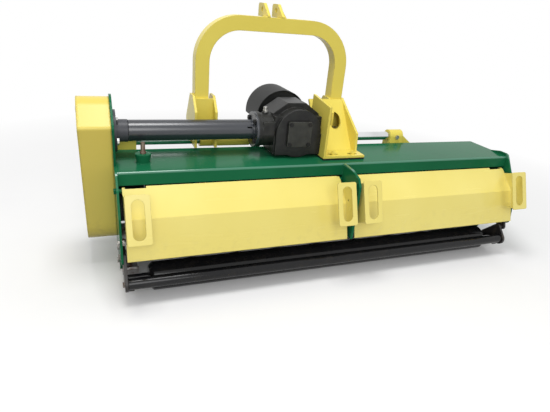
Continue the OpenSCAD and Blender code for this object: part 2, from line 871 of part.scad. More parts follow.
// Studs stand between the belts and the guard's rim, above and below
guard_stud_at = [
    [drive_y, drive_z] + (guard_top_r + pulley_r) / 2 * [sin(stud_turn), cos(stud_turn)],
    [rotor_y, rotor_z] + (guard_low_r + pulley_r) / 2 * [sin(stud_turn), -cos(stud_turn)]
];
module belt_guard() {
    color("khaki") frame()
    difference() {
        along_x(guard_x, guard_w) guard_outline(0);
        along_x(guard_x + guard_t, guard_w) guard_outline(-guard_t);
        for (p = guard_stud_at) bar_x(guard_x - cut, p[0], p[1], guard_t + 2 * cut, bolt_r + seat_gap, small);
    }
}
module collar_flange() {
    color("black") frame()
    difference() {
        union() {
            bar_x(xl, drive_y, drive_z, foot_t, flange_r);
            bar_x(xl, drive_y, drive_z, collar_l, collar_r);
            bar_x(xl, drive_y, drive_z, quill_l, inner_r);
        }
        bar_x(xl - cut, drive_y, drive_z, quill_l + 2 * cut, inner_r - tube_t);
        for (a = collar_angles)
            bar_x(xl - cut, drive_y + flange_bolt_r * cos(a), drive_z + flange_bolt_r * sin(a),
                foot_t + 2 * cut, bolt_r + seat_gap, small);
    }
}
module collar_bearings() {
    color("silver") frame()
    for (x = [xl + foot_t, xl + collar_l])
        ring_x(x, drive_y, drive_z, bearing_w / 2, inner_r - tube_t - seat_gap, quill_r + run_gap);
}
module collar_bolts() {
    color("silver") frame()
    for (a = collar_angles)
        bolt_left(xl + foot_t, drive_y + flange_bolt_r * cos(a), drive_z + flange_bolt_r * sin(a),
            plate_t + foot_t);
}
module drive_quill() {
    color("gray") frame()
    difference() {
        bar_x(pulley_x, drive_y, drive_z, xl + quill_l - pulley_x, quill_r);
        bar_x(pulley_x - cut, drive_y, drive_z, xl + quill_l - pulley_x + 2 * cut,
            (hex_r + pass_gap / 2) / cos(30), 6);
    }
}

// Rotor

module rotor_tube() {
    color("dimgray") frame() {
        difference() {
            union() {
                bar_x(xl + rotor_end, rotor_y, rotor_z, deck_w - 2 * rotor_end, rotor_r);
                for (row = [0:2], i = [0:flail_n - 1], s = [-1, 1])
                    flail_lug(row, i, s);
            }
            bar_x(xl + rotor_end + rotor_t * 2, rotor_y, rotor_z, deck_w - 2 * rotor_end - rotor_t * 4,
                rotor_r - rotor_t);
            for (x = [xl + rotor_end, xr - rotor_end - rotor_t * 2])
                bar_x(x - cut, rotor_y, rotor_z, rotor_t * 2 + 2 * cut, stub_r + seat_gap);
        }
    }
}
// Angle of each row of flails round the rotor
function row_angle(row) = 270 + 120 * row;
function flail_x(row, i) = xl + rotor_end + flail_step * (3 * i + row + 0.5);
function row_y(row) = rotor_y + pivot_r * cos(row_angle(row));
function row_z(row) = rotor_z + pivot_r * sin(row_angle(row));
module flail_lug(row, i, s) {
    a = row_angle(row);
    along_x(flail_x(row, i) + s * (lug_gap + lug_t) / 2 - lug_t / 2, lug_t) difference() {
        translate([rotor_y, rotor_z]) rotate(a) union() {
            translate([rotor_r - rotor_t / 2, -lug_r]) square([pivot_r - rotor_r + rotor_t / 2, 2 * lug_r]);
            translate([pivot_r, 0]) circle(lug_r, $fn = small);
        }
        translate([row_y(row), row_z(row)]) circle(flail_bolt_r + seat_gap, $fn = small);
    }
}
module rotor_stubs() {
    color("silver") frame() {
        bar_x(pulley_x, rotor_y, rotor_z, xl + rotor_end + rotor_t * 2 - pulley_x, stub_r);
        bar_x(xr - rotor_end - rotor_t * 2, rotor_y, rotor_z, rotor_end + rotor_t * 2 + plate_t, stub_r);
    }
}
module rotor_bearings() {
    color("dimgray") frame()
    for (x = [xl, xr - bearing_w]) difference() {
        bar_x(x, rotor_y, rotor_z, bearing_w, bearing_r);
        bar_x(x - cut, rotor_y, rotor_z, bearing_w + 2 * cut, stub_r + run_gap);
        for (a = [45:90:315])
            bar_x(x - cut, rotor_y + bearing_bolt_r * cos(a), rotor_z + bearing_bolt_r * sin(a),
                bearing_w + 2 * cut, bolt_r + seat_gap, small);
    }
}
module bearing_bolts() {
    color("silver") frame()
    for (a = [45:90:315]) {
        y = rotor_y + bearing_bolt_r * cos(a);
        z = rotor_z + bearing_bolt_r * sin(a);
        bolt_left(xl + bearing_w, y, z, bearing_w + plate_t);
        bolt_left(xr + plate_t, y, z, bearing_w + plate_t);
    }
}
module flail_bolts() {
    color("silver") frame()
    for (row = [0:2], i = [0:flail_n - 1]) {
        x = flail_x(row, i) - lug_gap / 2 - lug_t;
        bolt_right(x, row_y(row), row_z(row), lug_gap + 2 * lug_t + head_h, flail_bolt_r, lug_r * 0.75);
    }
}
// Hammer flail hanging from its pivot
module flail(x, y, z) {
    difference() {
        union() {
            bar_x(x - shank_w / 2, y, z, shank_w, flail_t / 2);
            box([x - shank_w / 2, y - flail_t / 2, z - flail_l / 2], [shank_w, flail_t, flail_l / 2]);
            along_x(x - flail_w / 2, flail_w) polygon([
                [y - flail_t / 2, z - flail_l / 2],
                [y + flail_t / 2, z - flail_l / 2],
                [y + flail_t / 2, z - flail_l],
                [y + flail_t / 4, z - flail_l],
                [y, z - flail_l * 0.92],
                [y - flail_t / 4, z - flail_l],
                [y - flail_t / 2, z - flail_l]
            ]);
        }
        bar_x(x - shank_w, y, z, shank_w * 2, flail_bolt_r + run_gap, small);
    }
}
module flail_row(row) {
    color("gray") frame()
    for (i = [0:flail_n - 1]) flail(flail_x(row, i), row_y(row), row_z(row));
}
module flails_low() {
    flail_row(0);
}
module flails_front() {
    flail_row(1);
}
module flails_rear() {
    flail_row(2);
}

// Rear roller

module rear_roller() {
    x0 = xl + roller_end;
    l = deck_w - 2 * roller_end;
    color("black") frame() {
        translate([x0, roller_y, roller_r]) rotate([0, 90, 0]) rotate_extrude($fn = fine) polygon([
            [0, 0],
            [roller_r - roller_taper, 0],
            [roller_r, roller_taper],
            [roller_r, l - roller_taper],
            [roller_r - roller_taper, l],
            [0, l],
            [0, l - roller_taper],
            [roller_r - roller_wall, l - roller_taper],
            [roller_r - roller_wall, roller_taper],
            [0, roller_taper]
        ]);
        for (x = [xl + pass_gap, xr - roller_end - cut])
            bar_x(x, roller_y, roller_r, roller_end + cut - pass_gap - (x > 0 ? bracket_in : 0), axle_r);
    }
}
// Bracket plate round the listed corners, each a place and a radius
module bracket_plate(x, corners) {
    along_x(x, bracket_t) difference() {
        hull() for (c = corners) translate(c[0]) circle(c[1], $fn = small);
        translate([roller_y, roller_r]) circle(axle_r + run_gap, $fn = fine);
        for (p = concat(bracket_bolts, [[scraper_y, scraper_z]]))
            translate(p) circle(bolt_r + seat_gap, $fn = small);
    }
}
bolt_corners = [for (p = bracket_bolts) [p, head_r * 1.5]];
arm_corners = [[[roller_y, roller_r], axle_r * 2.2], [[scraper_y, scraper_z], scraper_r * 1.3]];
step_corner = [[step_y, step_z], step_r];
module roller_brackets() {
    inner_x = xr - bracket_in - bracket_t;
    color("black") frame() {
        bracket_plate(xl, concat(bolt_corners, arm_corners));
        // The right bracket steps inwards below its plate
        bracket_plate(xr - bracket_t, concat(bolt_corners, [step_corner]));
        bracket_plate(inner_x, concat(arm_corners, [step_corner]));
        box([inner_x, step_y - step_r / 2, step_z - bracket_t / 2],
            [bracket_in + bracket_t, step_r, bracket_t]);
        // Blocks under the ends of the scraper tube
        for (x = [xl + bracket_t, inner_x - scraper_r])
            box([x, scraper_y + scraper_r * 0.2, scraper_z - scraper_r * 1.6],
                [scraper_r, scraper_r, bracket_t]);
    }
}
module scraper_tube() {
    color("black") frame()
    difference() {
        bar_x(xl + bracket_t, scraper_y, scraper_z, deck_w - bracket_in - 2 * bracket_t, scraper_r);
        bar_x(xl + 2 * bracket_t, scraper_y, scraper_z, deck_w - bracket_in - 4 * bracket_t,
            scraper_r - tube_t);
        bar_x(xl, scraper_y, scraper_z, deck_w - bracket_in, bolt_r + seat_gap, small);
    }
}

// Doors

module door_panel(mirrored) {
    color("khaki") frame() mirror([mirrored, 0, 0]) {
        difference() {
            along_x(door_x[0], door_x[1] - door_x[0]) polygon(strip(door_line, door_t));
            // Notch in the top edge at the outer end, cut corner at the inner end
            along_x(door_x[0] - cut, handle_w + cut)
                translate(door_top) rotate(atan2(door_dir[1], door_dir[0]))
                    translate([-hinge_back, -2 * door_t]) square([2 * hinge_back, 4 * door_t]);
            translate([door_x[1], door_top_y, door_top_z]) rotate([atan2(door_dir[1], door_dir[0]), 0, 0])
                translate([0, 0, -2 * door_t]) linear_extrude(4 * door_t)
                    polygon([[-door_corner - cut, -cut], [cut, -cut], [cut, door_corner + cut]]);
        }
        for (x = [door_x[0], door_x[1] - ear_t]) along_x(x, ear_t) difference() {
            hull() {
                translate(hinge) circle(ear_r, $fn = small);
                translate(door_top + (hinge_back + ear_r) * door_dir + door_t * door_in)
                    rotate(atan2(door_dir[1], door_dir[0])) square([2 * ear_r, seat_gap]);
            }
            translate(hinge) circle(hinge_r + run_gap, $fn = fine);
        }
    }
}
module left_door() {
    door_panel(0);
}
module right_door() {
    door_panel(1);
}
// Point on the door's outer face above the crease, where a handle web ends
web_end = crease + (door_top - crease) * web_reach_share;
web_low = crease + (door_low - crease) * (crease_z - handle_z + web_drop) / (crease_z - door_low_z);
web_hole = crease + web_hole_r * [-3, 4];
module handle(x, inward) {
    translate([inward > 0 ? x : x - handle_w, 0, handle_z]) rotate([-handle_lean, 0, 0])
    translate([0, handle_t, 0]) rotate([90, 0, 0]) linear_extrude(handle_t) difference() {
        soft(handle_r) square([handle_w, handle_h]);
        hull() for (z = [(handle_h - slot_h + slot_w) / 2, (handle_h + slot_h - slot_w) / 2])
            translate([handle_w / 2, z]) circle(slot_w / 2, $fn = small);
    }
    along_x(inward > 0 ? x : x - handle_t, handle_t) difference() {
        polygon([
            handle_low + handle_t * [cos(handle_lean), -sin(handle_lean)] + handle_r / handle_h * handle_dir,
            handle_top + handle_t * [cos(handle_lean), -sin(handle_lean)] - handle_r / handle_h * handle_dir,
            web_end,
            crease,
            web_low
        ]);
        translate(web_hole) circle(web_hole_r, $fn = small);
    }
}
handle_dir = handle_top - handle_low;
module handle_pair(mirrored) {
    color("khaki") frame() mirror([mirrored, 0, 0]) {
        handle(door_x[0], 1);
        handle(door_x[1], -1);
    }
}
module left_handles() {
    handle_pair(0);
}
module right_handles() {
    handle_pair(1);
}
module hinge_bolts() {
    color("silver") frame() {
        bolt_right(xlo, hinge[0], hinge[1], plate_t + door_side_gap + ear_t + head_h, hinge_r);
        bolt_left(xr + plate_t, hinge[0], hinge[1], plate_t + door_side_gap + ear_t + head_h, hinge_r);
        bar_x(-door_gap / 2 - ear_t - head_h, hinge[0], hinge[1], door_gap + 2 * ear_t + 2 * head_h, hinge_r);
    }
}

// Front curtain

module curtain_rod() {
    color("silver") frame()
    bar_x(xl, rod_y, rod_z, deck_w, rod_r);
}
module curtain_flaps() {
    color("black") frame()
    for (i = [0:flap_n - 1]) difference() {
        union() {
            bar_x(xl + i * flap_step + pass_gap / 2, rod_y, rod_z, flap_step - pass_gap, rod_r + flap_t / 2);
            box([xl + i * flap_step + pass_gap / 2, rod_y - flap_t / 2, rod_z - flap_h],
                [flap_step - pass_gap, flap_t, flap_h]);
        }
        bar_x(xl + i * flap_step, rod_y, rod_z, flap_step, rod_r + run_gap);
    }
}

// Slide

module slide_rail() {
    color("gainsboro") frame()
    bar_x(xl, hoop_y, rail_z, holder_x + holder_l - xl, rail_r);
}
module rail_holder_left() {
    color("khaki") frame()
    difference() {
        along_x(xl, holder_left_l) polygon([
            [hoop_y - sleeve_r, slope_z(hoop_y - sleeve_r)],
            [hoop_y + sleeve_r, slope_z(hoop_y + sleeve_r)],
            [hoop_y + sleeve_r, rail_z + sleeve_r * 0.8],
            [hoop_y - sleeve_r, rail_z + sleeve_r * 0.8]
        ]);
        bar_x(xl - cut, hoop_y, rail_z, holder_left_l + 2 * cut, rail_r + seat_gap);
    }
}
module rail_holder_right() {
    color("khaki") frame()
    difference() {
        union() {
            bar_x(holder_x, hoop_y, rail_z, holder_l, sleeve_r);
            along_x(holder_x, holder_l) polygon([
                [hoop_y - sleeve_r, slope_z(hoop_y - sleeve_r)],
                [hoop_y + sleeve_r, slope_z(hoop_y + sleeve_r)],
                [hoop_y + sleeve_r, rail_z],
                [hoop_y - sleeve_r, rail_z]
            ]);
            // Wedge that runs out to the right
            translate([0, hoop_y + foot_t / 2, 0]) rotate([90, 0, 0]) linear_extrude(foot_t) polygon([
                [holder_x + holder_l - cut, slope_z(hoop_y - foot_t / 2)],
                [holder_x + holder_l * 2, slope_z(hoop_y - foot_t / 2)],
                [holder_x + holder_l - cut, rail_z + sleeve_r / 2]
            ]);
        }
        bar_x(holder_x - cut, hoop_y, rail_z, holder_l + cut, rail_r + seat_gap);
        bar_y(holder_x + holder_l / 2, hoop_y - sleeve_r - cut, rail_z, sleeve_r - rail_r + 2 * cut,
            bolt_r + seat_gap, small);
    }
}
module holder_screw() {
    color("silver") frame() {
        bar_y(holder_x + holder_l / 2, hoop_y - sleeve_r - head_h, rail_z, head_h, head_r, 6);
        bar_y(holder_x + holder_l / 2, hoop_y - sleeve_r - cut, rail_z,
            sleeve_r - rail_r + cut - pass_gap / 2,
            bolt_r, small);
    }
}
module slide_bushes() {
    color("peru") frame()
    for (x = [sleeve_left_x, sleeve_mid_x - bush_l, wall_x, sleeve_right_x - bush_l])
        ring_x(x, hoop_y, rail_z, bush_l, sleeve_r - tube_t - seat_gap, rail_r + run_gap);
}

// Headstock

module tube_section() {
    difference() {
        square(hoop_tube, center = true);
        square(hoop_tube - 2 * hoop_wall, center = true);
    }
}
module hoop() {
    half = hoop_w / 2;
    top = hoop_top_z - hoop_tube / 2;
    color("khaki") frame() translate([hoop_x, hoop_y, 0]) {
        for (s = [-1, 1]) {
            translate([s * half, 0, hoop_low_z])
                linear_extrude(top - hoop_bend - hoop_low_z) tube_section();
            translate([s * (half - hoop_bend), 0, top - hoop_bend])
                rotate([90, s > 0 ? 0 : -90, 0]) rotate_extrude(angle = 90, $fn = fine)
                    translate([hoop_bend, 0]) tube_section();
        }
        translate([hoop_bend - half, 0, top]) rotate([0, 90, 0])
            linear_extrude(hoop_w - 2 * hoop_bend) tube_section();
    }
}
module link_lugs() {
    color("khaki") frame() translate([hoop_x + link_x, hoop_y, 0])
    for (s = [-1, 1]) {
        x = s > 0 ? link_gap / 2 : -link_gap / 2 - link_t;
        along_x(x, link_t) difference() {
            hull() {
                translate([-hoop_tube / 2, hoop_top_z]) square([hoop_tube / 2 + link_reach, link_t / 2]);
                for (y = [link_ahead / 2 + link_t, link_reach - link_t])
                    translate([y, link_z + link_t]) circle(link_t, $fn = small);
            }
            translate([link_ahead, link_z]) circle(link_r, $fn = fine);
        }
        // Gusset on the right of the right lug
        if (s > 0) translate([0, link_t * 0.75, 0]) rotate([90, 0, 0]) linear_extrude(link_t * 0.75)
            polygon([
                [x + link_t, hoop_top_z],
                [x + link_t * 2.6, hoop_top_z],
                [x + link_t, link_z]
            ]);
    }
}
leg_rear_y = hoop_y - hoop_tube / 2;
leg_front_y = hoop_y + hoop_tube / 2;
hitch_y = foot_front_y - hitch_root_r * 1.6;
tube_clear_y = drive_y + collar_r + 8 * pass_gap;
// Side plate of a foot, without its openings
left_foot_line = [
    [leg_rear_y, foot_top_z],
    [tube_clear_y, (foot_top_z + drive_z) / 2],
    [tube_clear_y, foot_z],
    [hoop_y + sleeve_r * 1.4, foot_z],
    [foot_front_y, hitch_z - hitch_r * 3],
    [foot_front_y, hitch_z + hitch_r * 3],
    [leg_front_y, foot_top_z]
];
right_wall_line = [
    [flange_rear_y, flange_z],
    [flange_rear_y, wall_rear_z],
    [wall_front_y, wall_front_z],
    [wall_front_y, drive_z + snout_r],
    [hoop_y + sleeve_r * 1.4, rail_z + sleeve_r * 1.2],
    [hoop_y + sleeve_r * 1.4, foot_z],
    [flange_front_y, foot_z],
    [flange_front_y, flange_z]
];
right_gusset_line = [
    [gusset_y - foot_t, flange_z],
    [gusset_y, gusset_z],
    [leg_rear_y, foot_top_z],
    [leg_front_y, foot_top_z],
    [foot_front_y, hitch_z + hitch_r * 3],
    [foot_front_y, hitch_z - hitch_r * 3],
    [hoop_y + sleeve_r * 1.4, foot_z],
    [flange_front_y, foot_z],
    [flange_front_y, flange_z]
];
foot_bolt_xs = [wall_x + foot_t + foot_slot_l, right_face - foot_slot_l * 0.54];
module foot_plate(x, line, pin) {
    along_x(x, foot_t) difference() {
        polygon(line);
        translate([hoop_y, rail_z]) circle(sleeve_r + seat_gap, $fn = fine);
        if (pin) translate([hitch_y, hitch_z]) circle(hitch_root_r + seat_gap, $fn = fine);
    }
}
module left_foot() {
    x0 = leg_left_x - hoop_tube / 2 - foot_t;
    color("khaki") frame() {
        foot_plate(x0, left_foot_line, true);
        foot_plate(x0 + foot_gap, left_foot_line, true);
        // Web behind the leg and seat below it
        box([x0 + foot_t, leg_rear_y - foot_t, hoop_low_z - foot_t],
            [foot_gap - foot_t, foot_t, foot_top_z - hoop_low_z]);
        box([x0 + foot_t, leg_rear_y, hoop_low_z - foot_t], [foot_gap - foot_t, hoop_tube, foot_t]);
    }
}
module right_foot() {
    color("khaki") frame() {
        foot_plate(wall_x, right_wall_line, false);
        foot_plate(right_face, right_gusset_line, true);
        foot_plate(leg_right_x - hoop_tube / 2 - foot_t, left_foot_line, true);
        difference() {
            box([wall_x, flange_rear_y, flange_z], [right_face + flange_over - wall_x,
                flange_front_y - flange_rear_y, foot_t]);
            for (x = foot_bolt_xs) translate([x, foot_bolt_y, flange_z - cut])
                linear_extrude(foot_t + 2 * cut) {
                    square([foot_slot_l - 2 * foot_slot_r, 2 * foot_slot_r], center = true);
                    for (s = [-1, 1])
                        translate([s * (foot_slot_l / 2 - foot_slot_r), 0]) circle(foot_slot_r, $fn = small);
                }
        }
        box([leg_right_x - hoop_tube / 2, leg_rear_y, hoop_low_z - foot_t], [hoop_tube, hoop_tube, foot_t]);
        // Leaning rear plate with its oval hole
        difference() {
            along_x(wall_x + foot_t, right_face - wall_x - foot_t) polygon(strip([
                [lean_y, flange_z],
                [leg_rear_y, foot_top_z - foot_t]
            ], foot_t));
            for (z = [oval_z - oval_h / 2, oval_z + oval_h / 2])
                bar_y(oval_x, flange_rear_y, z, leg_rear_y - flange_rear_y, oval_r);
            box([oval_x - oval_r, flange_rear_y, oval_z - oval_h / 2],
                [2 * oval_r, leg_rear_y - flange_rear_y, oval_h]);
        }
    }
}
module slide_sleeves() {
    color("khaki") frame() {
        ring_x(sleeve_left_x, hoop_y, rail_z, sleeve_mid_x - sleeve_left_x, sleeve_r, sleeve_r - tube_t);
        ring_x(wall_x, hoop_y, rail_z, sleeve_right_x - wall_x, sleeve_r, sleeve_r - tube_t);
    }
}
module slide_pad() {
    color("dimgray") frame()
    box([wall_x, flange_rear_y, deck_z + pad_gap], [right_face + flange_over - wall_x,
        flange_front_y - flange_rear_y, pad_t]);
}
module foot_bolts() {
    color("khaki") frame()
    for (x = foot_bolt_xs)
        translate([x, foot_bolt_y, flange_z + foot_t]) {
            cylinder(h = head_h, r = head_r, $fn = 6);
            translate([0, 0, head_h - cut]) cylinder(h = head_h, r = bolt_r, $fn = small);
        }
}
module hitch_pins() {
    x0 = leg_left_x - hoop_tube / 2 - foot_t;
    x1 = leg_right_x - hoop_tube / 2 - foot_t;
    color("silver") frame() {
        bar_x(x0, hitch_y, hitch_z, foot_gap + foot_t, hitch_root_r);
        bar_x(x0 - hitch_l, hitch_y, hitch_z, hitch_l, hitch_r);
        bar_x(x1, hitch_y, hitch_z, hoop_tube + 2 * foot_t, hitch_root_r);
        bar_x(right_face + foot_t, hitch_y, hitch_z, hitch_l, hitch_r);
    }
}

// Gearbox

module gearbox_casting() {
    bz = drive_z - box_low_z;
    color("black") frame()
    difference() {
        union() {
            bar_y(gearbox_x, box_rear_y, drive_z, box_front_y - box_rear_y, box_r);
            box([gearbox_x - box_r, box_rear_y, box_low_z], [box_r + box_half, box_front_y - box_rear_y, bz]);
            box([gearbox_x - box_half, drive_y - neck_r, box_low_z],
                [box_half * 2, box_front_y - drive_y + neck_r, bz + neck_r]);
            bar_x(neck_x, drive_y, drive_z, neck_l + box_half, neck_r);
            bar_x(neck_x, drive_y, drive_z, neck_flange_t, neck_flange_r);
            // Ribs of the side neck
            for (a = [0, 270]) translate([neck_x, drive_y, drive_z]) rotate([a, 0, 0])
                box([0, neck_r - box_t, -box_t / 2], [neck_l, neck_flange_r - neck_r + box_t / 2, box_t]);
            translate([breather_x, drive_y, drive_z]) cylinder(h = breather_h, r = head_r * 1.2, $fn = small);
            bar_y(gearbox_x, box_front_y - cut, drive_z, snout_l + cut, snout_r);
            // Peaked saddle on top
            translate([gearbox_x, box_front_y, drive_z]) rotate([90, 0, 0])
                linear_extrude(box_front_y - drive_y + neck_r / 2) polygon([
                    [-box_half, 0],
                    [box_half, 0],
                    [box_half, shoulder_h],
                    [saddle_half, saddle_h],
                    [-saddle_half, saddle_h],
                    [-box_half, shoulder_h]
                ]);
            // Machined pad on the neck's rear
            box([neck_x + neck_flange_t, drive_y - neck_r - box_t / 2, drive_z - box_t],
                [neck_l - neck_flange_t, neck_r, box_t * 6]);
        }
        // Gear chamber, neck bore and snout bore
        bar_y(gearbox_x, box_rear_y + box_t, drive_z, box_front_y - box_rear_y - 2 * box_t, box_r - box_t);
        bar_y(gearbox_x, box_rear_y - cut, drive_z, box_t + 2 * cut, seat_r);
        bar_x(neck_x - cut, drive_y, drive_z, neck_l + box_half, seat_r);
        bar_y(gearbox_x, box_front_y - box_t - cut, drive_z, snout_l + box_t + 2 * cut, seat_r);
        for (p = cover_bolt_at)
            bar_y(p[0], box_rear_y - cut, p[1], box_t + 2 * cut, bolt_r + seat_gap, small);
        translate([breather_x, drive_y, drive_z])
            cylinder(h = breather_h + cut, r = bolt_r + seat_gap, $fn = small);
        for (p = neck_bolt_at)
            bar_x(neck_x - cut, p[0], p[1], neck_flange_t + 2 * cut, bolt_r + seat_gap, small);
    }
}
breather_x = gearbox_x - box_half - neck_l / 3;
breather_h = neck_r + box_t / 2;
cover_bolt_at = [for (a = [45:90:315])
    [gearbox_x + cover_w * 0.56 * cos(a), drive_z + cover_w * 0.56 * sin(a)]];
neck_bolt_r = (tube_r + neck_flange_r) / 2;
neck_bolt_at = [for (a = [45:90:315]) [drive_y + neck_bolt_r * cos(a), drive_z + neck_bolt_r * sin(a)]];
module gearbox_cover() {
    color("black") frame()
    difference() {
        translate([gearbox_x - cover_w / 2, box_rear_y, drive_z - cover_w / 2]) rotate([90, 0, 0])
            linear_extrude(cover_t) soft(handle_r) square(cover_w);
        for (p = cover_bolt_at)
            bar_y(p[0], box_rear_y - cover_t - cut, p[1], cover_t + 2 * cut, bolt_r + seat_gap, small);
    }
}
module gearbox_bolts() {
    color("dimgray") frame() {
        for (p = cover_bolt_at) {
            bar_y(p[0], box_rear_y - cover_t - head_h / 2, p[1], head_h / 2, head_r * 0.8, 6);
            bar_y(p[0], box_rear_y - cover_t - cut / 2, p[1], cover_t + box_t / 2, bolt_r, small);
        }
        for (p = neck_bolt_at)
            bolt_right(neck_x - foot_t, p[0], p[1], foot_t + neck_flange_t, bolt_r, head_r * 0.9);
    }
}
module breather_plug() {
    color("silver") frame()
    translate([breather_x, drive_y, drive_z + breather_h]) {
        cylinder(h = head_h, r = head_r, $fn = 6);
        translate([0, 0, head_h - cut]) cylinder(h = head_h * 2, r = head_r * 0.7, $fn = small);
        translate([0, 0, -box_t / 2]) cylinder(h = box_t, r = bolt_r, $fn = small);
    }
}
module gearbox_bearings() {
    color("silver") frame() {
        for (x = [neck_x, neck_x + neck_l - bearing_w / 2])
            ring_x(x, drive_y, drive_z, bearing_w / 2, seat_r - seat_gap, shaft_r + run_gap);
        for (y = [box_rear_y + seat_gap, box_front_y - box_t + snout_l - bearing_w / 3])
            ring_y(gearbox_x, y, drive_z, bearing_w / 3, seat_r - seat_gap, shaft_r + run_gap);
    }
}
// Outline of a bevel gear at its large end
module bevel_outline(n, pitch, other) {
    half_cone = atan(pitch / other);
    tip = other * tan(half_cone + tip_angle);
    root = other * tan(half_cone - root_angle);
    circle(root, $fn = n * 2);
    for (i = [0:n - 1]) rotate(i * 360 / n) polygon([
        root * 0.97 * [cos(180 / n * tooth_shares[2]), -sin(180 / n * tooth_shares[2])],
        pitch * [cos(180 / n * tooth_shares[1]), -sin(180 / n * tooth_shares[1])],
        tip * [cos(180 / n * tooth_shares[0]), -sin(180 / n * tooth_shares[0])],
        tip * [cos(180 / n * tooth_shares[0]), sin(180 / n * tooth_shares[0])],
        pitch * [cos(180 / n * tooth_shares[1]), sin(180 / n * tooth_shares[1])],
        root * 0.97 * [cos(180 / n * tooth_shares[2]), sin(180 / n * tooth_shares[2])]
    ]);
}
module crown_gear() {
    deep = pinion_pitch * tooth_deep_share;
    rise = deep - pinion_pitch * tooth_taper_share;
    crown_r = crown_pitch - pass_gap / 2;
    color("gray") frame() translate([gearbox_x, drive_y, drive_z]) rotate([-90, 0, 0])
    difference() {
        intersection() {
            translate([0, 0, -deep]) rotate(180 + 180 / crown_n)
                linear_extrude(rise, scale = tooth_taper_share / tooth_deep_share)
                    scale(tooth_deep_share) bevel_outline(crown_n, crown_pitch, pinion_pitch);
            // Flat-sided blank that ends the teeth
            translate([0, 0, -deep - cut]) linear_extrude(rise + 2 * cut)
                polygon([for (i = [0:crown_n - 1])
                    crown_r * [cos(360 * i / crown_n), sin(360 * i / crown_n)]]);
        }
        translate([0, 0, -deep - cut]) cylinder(h = rise + 2 * cut, r = shaft_r + seat_gap, $fn = fine);
    }
}
module input_shaft() {
    y0 = box_rear_y + pass_gap;
    y1 = box_front_y + snout_l;
    color("silver") frame() {
        bar_y(gearbox_x, y0, drive_z, y1 - y0, shaft_r);
        difference() {
            bar_y(gearbox_x, y1 - cut, drive_z, spline_l + cut, spline_r);
            for (i = [0:5]) translate([gearbox_x, y1, drive_z]) rotate([0, i * 60, 0])
                box([-spline_r * 0.26, spline_l * 0.2, spline_r * 0.86],
                    [spline_r * 0.52, spline_l, spline_r]);
        }
    }
}
module pinion_shaft() {
    xb = gearbox_x - crown_pitch;
    x_end = xl + collar_l;
    color("silver") frame() {
        translate([xb, drive_y, drive_z]) rotate([0, 90, 0])
            linear_extrude(crown_pitch * (1 - tooth_taper_share), scale = tooth_taper_share)
                bevel_outline(pinion_n, pinion_pitch, crown_pitch);
        bar_x(neck_x, drive_y, drive_z, xb - neck_x + seat_gap, shaft_r);
        bar_x(x_end, drive_y, drive_z, neck_x - x_end + cut, hex_r / cos(30), 6);
    }
}
module guard_tube() {
    color("black") frame()
    difference() {
        union() {
            bar_x(tube_x, drive_y, drive_z, neck_x - tube_x, tube_r);
            bar_x(neck_x - foot_t, drive_y, drive_z, foot_t, neck_flange_r);
        }
        bar_x(tube_x - cut, drive_y, drive_z, neck_x - tube_x + 2 * cut, tube_r - tube_t);
        // Sight slot near the gearbox
        box([neck_x - foot_t * 4, drive_y - tube_r, drive_z + tube_r / 3],
            [foot_t * 2, tube_r / 2, foot_t / 2]);
        for (p = neck_bolt_at)
            bar_x(neck_x - foot_t - cut, p[0], p[1], foot_t + 2 * cut, bolt_r + seat_gap, small);
    }
}
module cowl() {
    color("black") frame() translate([gearbox_x, 0, drive_z]) difference() {
        union() {
            difference() {
                translate([0, 0, cowl_lift]) ring_y(0, cowl_rear_y, 0, cowl_l, cowl_r, cowl_r - cowl_t);
                box([-cowl_r * 2, cowl_rear_y - cut, -cowl_r * 2],
                    [cowl_r * 4, cowl_l + 2 * cut, cowl_r * 2 + cowl_low]);
            }
            // Back plate and the ring that sits on the input neck
            difference() {
                translate([0, cowl_rear_y + 2 * cowl_t, cowl_lift])
                    bar_y(0, 0, 0, cowl_t, cowl_r - cowl_t / 2);
                box([-cowl_r * 2, cowl_rear_y - cut, -cowl_r * 2],
                    [cowl_r * 4, cowl_l + 2 * cut, cowl_r * 2 + cowl_low]);
            }
            bar_y(0, box_front_y, 0, cowl_rear_y + 3 * cowl_t - box_front_y, snout_r + cowl_t);
        }
        bar_y(0, box_front_y - cut, 0, cowl_l, snout_r + seat_gap);
    }
}

deck();
left_side_plate();
right_side_plate();
centre_divider();
runners();
plate_bolts();
parking_socket();
socket_pin();
drive_pulley();
rotor_pulley();
drive_belts();
belt_tensioner();
idler_wheel();
guard_studs();
belt_guard();
collar_flange();
collar_bearings();
collar_bolts();
drive_quill();
rotor_tube();
rotor_stubs();
rotor_bearings();
bearing_bolts();
flail_bolts();
flails_low();
flails_front();
flails_rear();
rear_roller();
roller_brackets();
scraper_tube();
left_door();
right_door();
left_handles();
right_handles();
hinge_bolts();
curtain_rod();
curtain_flaps();
slide_rail();
rail_holder_left();
rail_holder_right();
holder_screw();
slide_bushes();
hoop();
link_lugs();
left_foot();
right_foot();
slide_sleeves();
slide_pad();
foot_bolts();
hitch_pins();
gearbox_casting();
gearbox_cover();
gearbox_bolts();
breather_plug();
gearbox_bearings();
crown_gear();
input_shaft();
pinion_shaft();
guard_tube();
cowl();
